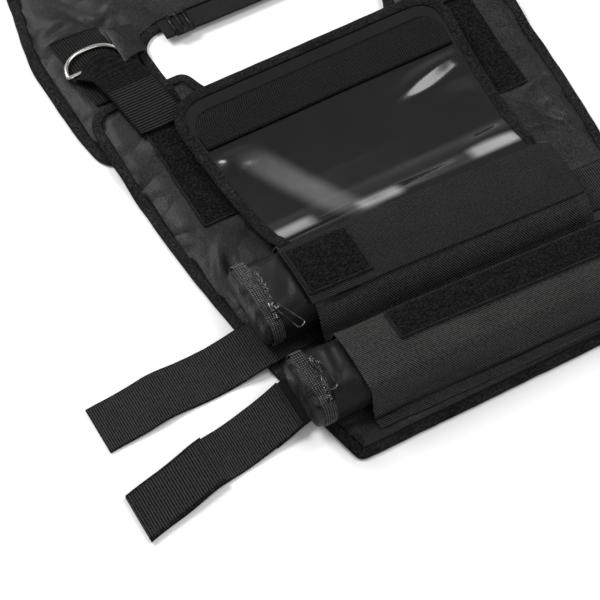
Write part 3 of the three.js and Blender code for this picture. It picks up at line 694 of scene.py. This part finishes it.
# Rings, webbing and tabs of the shoulders
ring = {
    "middle": 179, "bar": 487.95, "half": 30, "height": 25, "rise": 8, "wire": 2.3, "roundness": 0.8,
    "near": 12.5, "far": 10.7, "mid": 11.55,
}
tabCorners = [(-199, 455.95), (-149, 455.95), (-157, 543.95), (-207, 543.95)]
webbing = {"width": 50, "drop": 89, "barHeight": 12.7, "turn": 2.0 + 0.3 + 0.9, "lower": 15.1, "upper": 17.3,
           "bight": 17}
slipTable = [  # how far the webbing has slipped sideways, in widths
    {"along": 0, "shift": 0}, {"along": 0.12, "shift": 0.24}, {"along": 0.38, "shift": 0.34},
    {"along": 0.7, "shift": 0.4}, {"along": 1, "shift": 0.46},
]
keeper = {
    "top": [(-154.5, 16.9), (-150, 17.6), (-144, 17.3), (-137, 14.6), (-131, 11.2), (-126, 9.0)],
    "near": (484, 494), "far": 530,
}
steelFinish = metal("ring_steel", 0.6, 0.17, warm=0.06)
tabFinish = tapeCloth("tab_webbing", (0.05, 0.088), pitch=2.8, deep=0.6, dark=0.0005, light=0.017, selvedge=1.6)
webFinish = tapeCloth("shoulder_webbing", (0.17, 0.05), pitch=3.1, deep=0.9, dark=0.0005, light=0.021,
                      selvedge=1.4, plain=(77, 26))


def ringPath(side):
    points = []
    for k in range(96):
        angle = 2 * math.pi * k / 96
        across = math.copysign(abs(math.cos(angle)) ** ring["roundness"], math.cos(angle)) * ring["half"]
        up = max(math.sin(angle), 0) * ring["height"]
        z = mix(ring["near"], ring["far"], up / ring["height"])
        points.append(hem(side * ring["middle"] + across, ring["bar"] + ring["rise"] + up, z))
    return points


def makeShoulder(side, word):
    low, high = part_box(f"{word}_d_ring")
    bm = sweptRod(ringPath(side), ring["wire"] * mm, 14)
    for vert in bm.verts:
        vert.co.z += (low.z + high.z) / 2 - ring["mid"] * mm
    addPiece(f"{word}_ring", bm, steelFinish, [f"{word}_d_ring"], closed=True)
    laidPiece(f"{word}_tab", f"{word}_ring_tab", mirroredCorners(tabCorners, side), tabFinish, 1.6,
              backPanel)

    # The webbing comes up the chest, turns round the ring's bar and lies back over itself
    bar, drop, barZ, turn = ring["bar"], webbing["drop"], webbing["barHeight"], webbing["turn"]
    lower, upper = webbing["lower"], webbing["upper"]
    profile = [(bar - drop * 0.72, lower), (bar - drop * 0.38, lower),
               (bar - drop * 0.12, mix(lower, barZ - turn, 0.8))]
    for k in range(9):
        angle = math.pi * (k / 8 - 0.5)
        profile.append((bar + turn * math.cos(angle), barZ + turn * math.sin(angle)))
    profile += [(bar - drop * 0.12, mix(upper, barZ + turn, 0.6) + 0.3), (bar - drop * 0.38, upper + 0.5),
                (bar - drop * 0.7, upper + 0.2), (bar - drop, upper)]
    path, length = spaced([Vector((0, y, z)) for y, z in profile], 2.2, False)

    def place(u, v):
        spot, run = onPath(path, u, False)
        shift = blended(slipTable, (bar - spot.y) / drop, "shift")
        x = -ring["middle"] - webbing["width"] / 2 + (1 - v + shift) * webbing["width"]
        crown = 0.5 * math.sin(math.pi * v) + 0.35 * drift(x * 0.06, spot.y * 0.06, 5.0)
        spot = spot + Vector((0, -run.z, run.y)) * (crown if u > 0.5 else -crown * 0.4)
        bight = smoothstep(spot.y, bar - 14, bar + 3) * (1 - (2 * v - 0.8) ** 2)
        spot.y += webbing["bight"] * max(bight, 0)
        spot.z -= 1.6 * max(bight, 0) * smoothstep(spot.z, 14, 16)
        return hem(-side * x, spot.y, spot.z)

    bm = gridMesh(len(path) - 1, 22, place, (length * mm, webbing["width"] * mm))
    web = addPiece(f"{word}_webbing", bm, webFinish, [f"{word}_shoulder_webbing"], 1.6)
    web.modifiers["wall"].offset = 0

    # The cloth loop that keeps the ring's end down on the shoulder
    keeperPath, keeperLength = spaced([Vector((x, 0, z)) for x, z in keeper["top"]], 2.0, False)

    def keeperPlace(u, v):
        spot = onPath(keeperPath, u, False)[0]
        y = mix(mix(*keeper["near"], u), keeper["far"], v) + 2.5 * math.sin(2.4 * u) * (0.5 - v)
        sag = 0.8 * math.sin(math.pi * v) - 0.6 * drift(spot.x * 0.09, y * 0.09, 8.0)
        return hem(-side * spot.x, y, spot.z + sag)

    bm = gridMesh(16, 14, keeperPlace, (keeperLength * mm, 36 * mm))
    addPiece(f"{word}_keeper", bm, panelFinish, [f"{word}_ring_keeper"], 1.6, rounds=0.4)


for side, word in sides:
    makeShoulder(side, word)
print("stage: shoulders")

# Weight bags and their sleeves
bagRows = [
    {"along": 0, "wide": 0.93, "high": 0.9}, {"along": 0.02, "wide": 1, "high": 0.99},
    {"along": 0.14, "wide": 1, "high": 1}, {"along": 0.4, "wide": 1, "high": 1},
    {"along": 0.7, "wide": 1, "high": 0.9}, {"along": 0.98, "wide": 1, "high": 0.8},
    {"along": 1, "wide": 0.94, "high": 0.72},
]
bags = {
    "upper": {"at": 172, "width": 82, "slider": -0.56, "turn": -1.2, "folds": [
        (-150, 172, 70, 26, 6, -2.4),
        (-158, 150, 30, 16, 6, 2.0),
        (-146, 192, 80, 18, 7, 2.0),
        (-150, 135, 10, 18, 4, -2.0)]},
    "lower": {"at": 71, "width": 70, "slider": 0.42, "turn": -1.55, "folds": [
        (-152, 84, 80, 26, 3, -1.2),
        (-158, 80, 84, 30, 3, 1.0),
        (-150, 52, 20, 18, 8, 1.4),
        (-160, 46, -10, 20, 4, -1.8)]},
}
bagLeft, bagLength, bagHeight, bagBase = 191, 328, 39, 8.4
sleeveLeft, sleeveRight, squareness = 140, 141, 0.3
pressBag = 4
bagMouths = (-146, -138), (150, 158)  # where the bags come out of their sleeves
bagSeat, bagEnd = 9.5, 183  # the height that the solver holds still, and where the end panel starts


def bagLean(x):  # the bags lie a little askew
    return -0.03 * (x + sleeveLeft)


def bagPoint(bag, x, p, q, clear):
    along = (x + bagLeft) / bagLength
    halfWide = bag["width"] / 2 * blended(bagRows, along, "wide") + clear
    halfHigh = bagHeight / 2 * blended(bagRows, along, "high") + clear
    y = bag["at"] + bagLean(x) + halfWide * p * math.sqrt(1 - squareness * q * q)
    z = bagBase + halfHigh - clear + halfHigh * q * math.sqrt(1 - squareness * p * p)
    return Vector((x, y, z))


archWalk = [(-1, -1), (-1, -0.4), (-1, 0.2), (-1, 0.7), (-0.97, 0.93), (-0.86, 1), (-0.5, 1), (0, 1)]
archWalk += [(-p, q) for p, q in reversed(archWalk[:-1])]


# A walk over an arch from the near foot to the far one; the share is of its rounded girth
def archPoint(bag, x, share, clear, foot):
    places = []
    for p, q in archWalk:
        spot = bagPoint(bag, x, p, max(q, 0), clear)
        if q < 0:
            spot.z = mix(spot.z, foot, -q)
        places.append(spot)
    lengths = runLengths(places)
    return pointAt(places, lengths, share * lengths[-1]), lengths[-1]


bagFinish = wovenCloth("bag_cloth", roughness=0.45, gloss=0.13)


def makeBag(word):
    bag = bags[word]

    def outside(spot):  # 1 outside the sleeve, 0 inside it
        x = spot.x / mm
        return max(1 - smoothstep(x, *bagMouths[0]), smoothstep(x, *bagMouths[1]))

    def cap(spot):
        return 0.05 + (2.8 - 2.0 * smoothstep(-spot.x / mm, 182, 190)) * outside(spot)

    def held(spot):
        return 1.0 if spot.z < bagSeat * mm else 0.0

    bm = softBody([f"{word}_weight_bag"], 4.0, pressBag, cap, held)
    for vert in bm.verts:
        x, y, z = vert.co.x / mm, vert.co.y / mm + restFromHem, vert.co.z / mm
        soft = 0.9 * drift(x * 0.03, y * 0.03, z * 0.03 + 3)
        soft += 1.5 * drift(x * 0.05, y * 0.09, z * 0.07) * smoothstep(-x, bagEnd, bagEnd + 5)
        bend = foldHeight(bag["folds"], x, y) * max(vert.normal.z, 0)
        vert.co += vert.normal * (soft + bend) * outside(vert.co) * smoothstep(z, bagBase, bagBase + 8) * mm
        if outside(vert.co) < 0.5:
            vert.co -= vert.normal * 0.5 * mm
    for face in bm.faces:
        face.material_index = 1 if face.calc_center_median().x < -bagEnd * mm else 0
    piece = addPiece(f"{word}_bag", bm, bagFinish, [f"{word}_weight_bag"], closed=True)
    piece.data.materials.append(panelFinish)


sleeveFinish = twillCloth("sleeve_twill", light=0.046)
sleeve = {"clear": 2.2, "foot": 6.3, "flange": 12, "length": 0.281}
pucker = {
    "upper": [
        (-112, 26, 4, 26, 4, -5.0), (-112, 33, 6, 30, 3.5, 2.5), (-60, 30, -4, 40, 4, -2.0), (20, 28, 3, 60, 4, -1.6)],
    "lower": [
        (-118, 10, 10, 20, 4, 1.6), (-70, 8, -6, 34, 4, -1.6), (30, 9, 4, 50, 4, 1.4), (100, 14, -5, 34, 5, -1.6)],
}


def makeSleeve(word, lean):
    bag = bags[word]
    clear, foot, flange = sleeve["clear"], sleeve["foot"], sleeve["flange"]
    girth = archPoint(bag, 0, 0, clear, foot)[1]

    def place(u, v):
        x = mix(-sleeveLeft, sleeveRight, u)
        v = (v * (girth + flange) - flange) / girth
        spot = archPoint(bag, x, max(v, 0), clear, foot)[0]
        if v < 0.5:
            spot.y -= lean * (1 - smoothstep(spot.z, 6, 44))
        if v < 0:
            ridge = math.exp(-((v * girth + 3.5) / 1.3) ** 2) + math.exp(-((v * girth + 9) / 1.3) ** 2)
            wave = drift(x * 0.05, v * 20, 4)
            return hem(spot.x, spot.y + v * girth + wave * 0.6, 7.6 + 0.9 * ridge + 0.5 * wave)
        sag = 0.7 * drift(spot.x * 0.02, spot.y * 0.03, spot.z * 0.03)
        seam = 1.4 * math.exp(-((v - 0.06) / 0.012) ** 2) - 0.8 * math.exp(-((v - 0.09) / 0.012) ** 2)
        fold = foldHeight(pucker[word], x, v * 100) * (v < 0.42)
        out = Vector((0, spot.y - (bag["at"] + bagLean(spot.x)), spot.z - 20)).normalized()
        mouth = 1.6 * smoothstep(-x, sleeveLeft - 14, sleeveLeft) * (0.4 + drift(v * 9, 2, 5))
        spot = spot + out * (0.5 + sag + fold + mouth) + Vector((0, -seam if v < 0.5 else 0, 0))
        spot.x += 1.2 * drift(v * 7, 8.1, 2) * smoothstep(-x, sleeveLeft - 6, sleeveLeft)
        return hem(spot.x, spot.y, max(spot.z, 6.4))

    bm = gridMesh(110, 72, place, (sleeve["length"], (girth + flange) * mm))
    piece = addPiece(f"{word}_sleeve_cloth", bm, sleeveFinish, [f"{word}_sleeve"], 1.5, rounds=0.4)
    (girth + flange + lean * 0.5) * mm


makeBag("upper")
makeBag("lower")
print("stage: bags")
makeSleeve("upper", 13)
makeSleeve("lower", 4)
print("stage: sleeves")

# Speckled tape sewn over each bag's end
pipingFinish = wovenCloth("piping", 0.8, 0.12)
endTape = {"outer": -184.5, "inner": -173.0, "clear": 1.2, "foot": 10.2, "centre": 26, "tuck": 6.5}


def makeEndTape(word):
    bag = bags[word]
    girth = archPoint(bag, -180, 0, endTape["clear"], endTape["foot"])[1]

    def place(u, v):
        x = mix(endTape["outer"], endTape["inner"], v)
        spot = archPoint(bag, x, 0.03 + 0.94 * u, endTape["clear"], endTape["foot"])[0]
        middle = bag["at"] + bagLean(spot.x)
        tuck = endTape["tuck"] * (1 - smoothstep(spot.z, 8, 30))
        spot.y -= math.copysign(tuck, spot.y - middle)
        out = Vector((-4, spot.y - middle, spot.z - endTape["centre"])).normalized()
        crown = 0.3 * math.sin(math.pi * v) + 1.2 + 0.5 * drift(u * 9, v, 1)
        return hem(*(spot + out * crown))

    bm = gridMesh(80, 6, place, (girth * 0.94 * mm, 0.0105))
    addPiece(f"{word}_end_tape", bm, pipingFinish, [f"{word}_bag_piping"], 1.2, rounds=0.3)


zipTapeFinish = tapeCloth("zip_tape", (0.06, 0.012), pitch=1.2, deep=0.2, dark=0.001, light=0.008, selvedge=0.4)
zipFinish = metal("zip_metal", 0.02, 0.22, worn=8.0, grain=700)
pullFinish = metal("puller_metal", 0.06, 0.14, worn=2.0, grain=90)


def scaled(*lengths):  # millimetres to metres
    return [length * mm for length in lengths]


def box(bm, place, shift, half, taper=1.0):
    place, half = place + Vector(scaled(*shift)), scaled(*half)
    for vert in bmesh.ops.create_cube(bm, size=2)["verts"]:
        squeeze = taper if vert.co.y > 0 else 1.0
        vert.co = Vector((vert.co.x * half[0] * squeeze, vert.co.y * half[1], vert.co.z * half[2])) + place


def softEdges(bm, offset, segments):
    bmesh.ops.bevel(bm, geom=bm.edges, offset=offset * mm, affect="EDGES", segments=segments, profile=0.5, material=-1)


zipper = {
    "inset": 21, "start": -0.92, "end": 0.62, "lift": 1.6, "half": 5.5, "pitch": 1.55, "tooth": (1.35, 0.52, 0.75),
    "apart": 1.15, "stagger": 0.25,
}
sliderParts = [  # places and half sizes of its plates, neck and bridge, and the plates' taper
    ((0, 0, 2.3), (4.2, 4.6, 0.7), 0.72), ((0, 0, 0.9), (4.2, 4.6, 0.6), 0.72),
    ((0, 0.4, 1.6), (1.1, 3.2, 1.2), 1.0), ((0, -1.0, 3.9), (0.8, 3.0, 1.1), 1.0),
]
pullerLoop = [(0, -2.2, 1.8), (34.5, -4.4, 3.2), (34.5, 4.4, 3.2), (0, 2.2, 1.8)]
pullerWire = 0.75


def makeZip(word):
    bag = bags[word]
    middle, start, end, half = -bagLeft + zipper["inset"], zipper["start"], zipper["end"], zipper["half"]

    def surface(x, p):
        spot = bagPoint(bag, x + 7 * min(p, 0), p, 1, 0.3 + zipper["lift"])
        return hem(spot.x, spot.y, spot.z)

    bm = gridMesh(30, 6, lambda u, v: surface(middle - half + 2 * half * v, mix(start, end, u)), (0.06, 0.011))
    teeth = bmesh.new()
    run = (surface(middle, end) - surface(middle, start)).length / mm
    count = int(run / zipper["pitch"])
    for i in range(count):
        share = (i + 0.5) / count
        for hand in (-1, 1):
            along = share + hand * zipper["stagger"] / count
            spot = surface(middle + hand * zipper["apart"], mix(start, end, along))
            box(teeth, spot, (0, 0, 0.55), zipper["tooth"])
    softEdges(teeth, 0.22, 1)
    addPiece(f"{word}_zip_tape", bm, zipTapeFinish, [f"{word}_zip"], 0.8)
    addPiece(f"{word}_zip_teeth", teeth, zipFinish, [f"{word}_zip"], closed=True)

    slide = surface(middle, bag["slider"])
    body = bmesh.new()
    for part in sliderParts:
        box(body, slide, *part)
    softEdges(body, 0.4, 2)
    addPiece(f"{word}_slider", body, pullFinish, [f"{word}_zip_slider"], closed=True)

    # The puller is a long loop of wire, wider at its free end
    low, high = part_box(f"{word}_zip_puller")
    turn = bag["turn"]
    points = []
    for spot in rounded(pullerLoop):
        x = spot.x * math.cos(turn) - spot.y * math.sin(turn)
        y = spot.x * math.sin(turn) + spot.y * math.cos(turn)
        dip = -0.7 * smoothstep(spot.x, 14, 34)
        points.append(slide + Vector((x * mm, y * mm, 0)) + Vector((0, 0, (low.z + high.z) / 2 - slide.z + dip * mm)))
    bm = sweptRod(points, pullerWire * mm, 8)
    addPiece(f"{word}_puller", bm, pullFinish, [f"{word}_zip_puller"], closed=True)


for word in ("upper", "lower"):
    makeEndTape(word)
    makeZip(word)
print("stage: zips")


# Flat pieces on the sleeves: between two ends and two shares of the bag's half width
trimThickness = 1.4


def onSleeve(name, node, bag, ends, shares, level, finish, size, cells, bow=0.35):
    def place(u, v):
        spot = bagPoint(bags[bag], mix(*ends, u), mix(*shares, v), 1, level)
        soft = bow * drift(spot.x * 0.03, spot.y * 0.05, 6.0)
        return hem(spot.x, spot.y, spot.z + trimThickness + soft)

    return addPiece(name, gridMesh(*cells, place, size), finish, [node], trimThickness, rounds=0.4)


bandFinish = twillCloth("band_twill", light=0.023)
band = onSleeve("flap_band", "hinge_band", "upper", (-142, 141), (-0.93, 0.84), 4.0, bandFinish,
                (0.283, 0.07), (110, 38), 0.6)
onSleeve("loop_patch", "upper_loop_patch", "upper", (-140, -76), (-0.68, 0.68), 5.8,
         pileCloth("patch_pile", (0.064, 0.056)), (0.064, 0.056), (36, 30))
onSleeve("loop_strip", "lower_loop_strip", "lower", (-92, 138), (-0.1, 0.94), 4.0,
         pileCloth("strip_pile", (0.23, 0.036)), (0.23, 0.036), (110, 22))
print("stage: sleeve trim")

# Cover flap: glossy film with waves, edged with tape and with a strip of hook tape on it
flap = {
    "hinge": 199, "reach": 219, "half": 153, "nearLeft": 0.9, "nearRight": 0.84, "round": 44, "binding": 11,
    "section": [
        (11.2, -1.3), (11.0, 0.2), (8.5, 0.6), (5, 0.7), (2, 0.3), (0.4, -0.6), (0.0, -1.7), (0.5, -2.8),
        (2.5, -3.4), (10, -3.4)],
}
flapFolds = [
    (92, 331, 15, 48, 10.5, 4.2), (110, 290, 0, 22, 17, 3.0), (92, 229, 7, 28, 9, 3.5),
    (-20, 300, 24, 60, 24, -1.6), (-114, 329, -4, 28, 13, 3.3), (-80, 262, -50, 50, 20, 1.5),
    (20, 232, -4, 40, 14, 1.2),
]
filmTop = topOf("cover_flap", "flap_binding")


def flapSide(share, side):
    return side * flap["half"] * mix(flap["nearLeft"] if side < 0 else flap["nearRight"], 1, share)


def flapSpan(share, inset):  # its left and right sides, moved inwards
    return flapSide(share, -1) + inset, flapSide(share, 1) - inset


def flapShare(y):
    return (y - flap["hinge"]) / flap["reach"]


def hingeLine(x):
    return 198 - 0.036 * (x + 143)


def hingeDrop(x, y):  # the film leaves the band at the band's own height
    band = bagPoint(bags["upper"], x, 0.8, 1, 4.0).z + 0.4
    return max(52 - band, 0) * (1 - smoothstep(y, 204, 240))


def flapHeight(x, y):
    inner = Vector((x, y)).lerp(Vector((0, 300)), 0.03)
    spot = hem(inner.x, max(inner.y, 200))
    fade = smoothstep(y, 203, 216) * (1 - smoothstep(y, 336, 350))
    left, right = flapSpan(flapShare(y), 0)
    away = min(x - left, right - x)
    lift = foldHeight(flapFolds, x, y) * fade * smoothstep(away, 6, 24) - hingeDrop(x, y)
    return filmTop(spot.x, spot.y) + lift * mm


def filmPlace(u, v):
    far = flap["hinge"] + flap["reach"] - flap["binding"] * 0.5
    left, right = flapSpan(v, flap["binding"] * 0.5)
    radius = flap["round"] * 0.62
    over = max(radius - (far - mix(hingeLine(0), far, v)), 0)
    tuck = radius - math.sqrt(max(radius * radius - over * over, 0))
    x = mix(left + tuck, right - tuck, u)
    y = mix(hingeLine(x), far, v)
    return hem(x, y) + Vector((0, 0, flapHeight(x, y)))


film = addPiece("flap_film", gridMesh(120, 90, filmPlace, (0.29, 0.208)), filmPlastic("film"),
                ["cover_flap"], 0.9)
flapLoop = rounded([
    (flapSide(0, -1), 195, 3), (flapSide(0, 1), 190, 3),
    (flapSide(1, 1), 418, flap["round"]), (flapSide(1, -1), 418, flap["round"])])
first = max(range(len(flapLoop)), key=lambda i: flapLoop[i].x - flapLoop[i].y)
flapPath = [spot for spot in flapLoop[first:] + flapLoop[:first] if spot.y > 205]
flapPath = [Vector((flapSide(0, 1), 186))] + flapPath + [Vector((flapSide(0, -1), 195))]
edgeTop = topOf("flap_binding")


def flapGround(x, y):
    centre = Vector((0, 300))
    inner = Vector((x, y)) + (centre - Vector((x, y))).normalized() * 5
    spot = hem(inner.x, max(inner.y, 201))
    return edgeTop(spot.x, spot.y) - (hingeDrop(x, y) + 1.5 * (1 - smoothstep(y, 196, 206))) * mm


flapTapeFinish = tapeCloth("flap_tape", (0.75, 0.026), pitch=1.6, deep=0.4, dark=0.001, light=0.04,
                           selvedge=20, stitch=(2.4,), warm=0.03)
flapTape = sweptTape("flap_edge_tape", flapPath, flap["section"], flapGround, flapTapeFinish, ["flap_binding"], 0.5,
                     closed=False)

# Strip of hook tape across the film, rounded at its far corners
hookStrip = {"near": 351, "width": 41, "inset": 14, "tuck": 18, "straight": 0.38}
hookTop = topOf("flap_hook_strip")


def hookPlace(u, v):
    y = hookStrip["near"] + hookStrip["width"] * v
    left, right = flapSpan(flapShare(y), hookStrip["inset"])
    over = max(v - hookStrip["straight"], 0) / (1 - hookStrip["straight"])
    tuck = hookStrip["tuck"] * (1 - math.sqrt(max(1 - over * over, 0)))
    x = mix(left + tuck, right - tuck, u)
    inner = hem(mix(x, 0, 0.02), mix(y, 371, 0.06))
    return hem(x, y) + Vector((0, 0, hookTop(inner.x, inner.y)))


hookTape = tapeCloth("hook_pile", (0.27, 0.041), pitch=2.4, deep=0.5, dark=0.0005, light=0.013, selvedge=1.6,
                     stitch=(2.0,))
addPiece("hook_strip", gridMesh(130, 22, hookPlace, (0.27, 0.041)), hookTape, ["flap_hook_strip"], 1.4,
         rounds=0.3)
print("stage: flap")

# Side straps, landed on their solids, with a little sideways wander
strapFinish = tapeCloth("side_strap", (0.216, 0.05), pitch=2.3, deep=0.6, dark=0.0005, light=0.036,
                        selvedge=1.0, stitchEnds=(3.0,))
rootFinish = tapeCloth("strap_root", (0.09, 0.05), pitch=1.4, deep=0.15, dark=0.002, light=0.008, selvedge=1.0)
hookFinish = tapeCloth("strap_hook", (0.084, 0.05), pitch=2.6, deep=0.8, dark=0.0005, light=0.036,
                       selvedge=2.2, stitch=(3.0,), stitchEnds=(5.0,))
strapWidth, landedWidth = 50, 48
sleeveEnd = {-1: 142, 1: 143}
lowerRun = {"middle": 118, "slope": 0.2}
straps = {  # start None begins at the sleeve's end
    "upper_side_strap": {"name": "upper_strap", "start": None, "end": 358, "middle": 155, "slope": 0.042,
                         "finish": strapFinish},
    "lower_strap_root": {"name": "strap_root", "start": None, "end": 227.2, **lowerRun, "finish": rootFinish},
    "lower_side_strap": {"name": "lower_strap", "start": 198.2, "end": 367.1, **lowerRun, "finish": strapFinish},
    "lower_hook_patch": {"name": "strap_hook", "start": 283.3, "end": 367.1, **lowerRun,
                         "level": 0.5, "finish": hookFinish},
}


def makeStrap(side, word, node, strap):
    start, end = strap["start"] or sleeveEnd[side], strap["end"]
    top = topOf(f"{word}_{node}")

    def place(u, v):
        out = mix(start, end, u)
        wander = (1.6 * math.sin(out * 0.028) + 0.5 * math.sin(out * 0.09 + 1)) * smoothstep(out, 220, 300)
        line = strap["middle"] - strap["slope"] * out
        inner = hem(side * mix(out, (start + end) / 2, 0.01), line + (0.5 - v) * landedWidth)
        curl = 0.9 * drift(out * 0.03, v * 1.4, 4 + side) * smoothstep(out, 225, 250)
        lift = (max(curl, 0) + strap.get("level", 0)) * mm
        y = line + (0.5 - v) * strapWidth + wander
        return hem(side * out, y) + Vector((0, 0, top(inner.x, inner.y) + lift))

    bm = gridMesh(int((end - start) / 2), 24, place, ((end - start) * mm, strapWidth * mm))
    addPiece(f"{word}_{strap['name']}", bm, strap["finish"], [f"{word}_{node}"], 1.6, rounds=0.3)


for side, word in sides:
    for node, strap in straps.items():
        makeStrap(side, word, node, strap)
print("stage: straps")

# Neck strap and its slider
neckFinish = tapeCloth("neck_webbing", (0.206, 0.023), pitch=1.8, deep=0.4, dark=0.002, light=0.02, selvedge=1.0)
neckTop = topOf("neck_strap")


def neckPlace(u, v):
    x = mix(-103, 103, u)
    y = 496.7 + 23 * v - 2 * math.sin(math.pi * u)
    z = neckTop(*hem(x * 0.99, y + (0.5 - v) * 0.6)[:2])
    return hem(x, y) + Vector((0, 0, z + 0.9 * mm * max(drift(x * 0.04, 1, 3), 0)))


addPiece("neck_webbing", gridMesh(90, 12, neckPlace, (0.206, 0.023)), neckFinish, ["neck_strap"], 1.5,
         rounds=0.3)
frameBars = [  # place and half size of the slider's three bars and two rails
    ((-8.2, 0, 0), (1.8, 13.4, 1.2)), ((0, 0, 0), (1.8, 13.4, 1.2)), ((8.2, 0, 0), (1.8, 13.4, 1.2)),
    ((0, -12.2, 0), (10, 1.4, 1.15)), ((0, 12.2, 0), (10, 1.4, 1.15)),
]
low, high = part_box("neck_slider")
bm = bmesh.new()
for bar in frameBars:
    box(bm, (low + high) / 2, *bar)
softEdges(bm, 0.5, 2)
addPiece("slider_frame", bm, metal("slider_metal", 0.012, 0.3, worn=2.0), ["neck_slider"], closed=True)
print("stage: neck strap")

# Floor, world and soft studio lights
bm = bmesh.new()
bmesh.ops.create_grid(bm, x_segments=8, y_segments=8, size=6)
floorMesh = bpy.data.meshes.new("floor")
bm.to_mesh(floorMesh)
bm.free()
floorFinish = Finish("floor", Specular_IOR_Level=0.1)
place = floorFinish.coords("Object")[0]
floorShade = floorFinish.mixed(floorFinish.noise(place, 3, 2), grey(0.75), grey(0.77))
floorMesh.materials.append(floorFinish.feed(floorShade, 0.9, floorFinish.noise(place, 40, 2), 0.00001))
floor = bpy.data.objects.new("floor", floorMesh)
scene.collection.objects.link(floor)

world = bpy.data.worlds.new("studio")
world.use_nodes = True
background = world.node_tree.nodes["Background"]
background.inputs["Color"].default_value = (1, 1, 1, 1)
background.inputs["Strength"].default_value = 0.4
scene.world = world
scene.view_settings.view_transform = "Standard"
lights = {
    "key": {"place": (-0.9, 1.9, 1.9), "aim": (0, 0, 0), "size": 1.1, "power": 82},
    "far": {"place": (1.2, 2.6, 0.9), "aim": (0, 0.1, 0), "size": 1.7, "power": 1},
    "over": {"place": (0.95, 0.2, 2.1), "aim": (0, 0.1, 0), "size": 0.75, "power": 18},
    "side": {"place": (2.2, -0.6, 1.8), "aim": (0, 0, 0), "size": 1.6, "power": 15},
    "near": {"place": (0.3, -2.4, 1.3), "aim": (0, -0.1, 0), "size": 2.0, "power": 18},
}
for word, light in lights.items():
    lamp = bpy.data.lights.new(word, "AREA")
    lamp.size, lamp.energy = light["size"], light["power"]
    holder = bpy.data.objects.new(word, lamp)
    holder.location = light["place"]
    holder.rotation_euler = (Vector(light["aim"]) - holder.location).to_track_quat("-Z", "Y").to_euler()
    scene.collection.objects.link(holder)
print("stage: light")
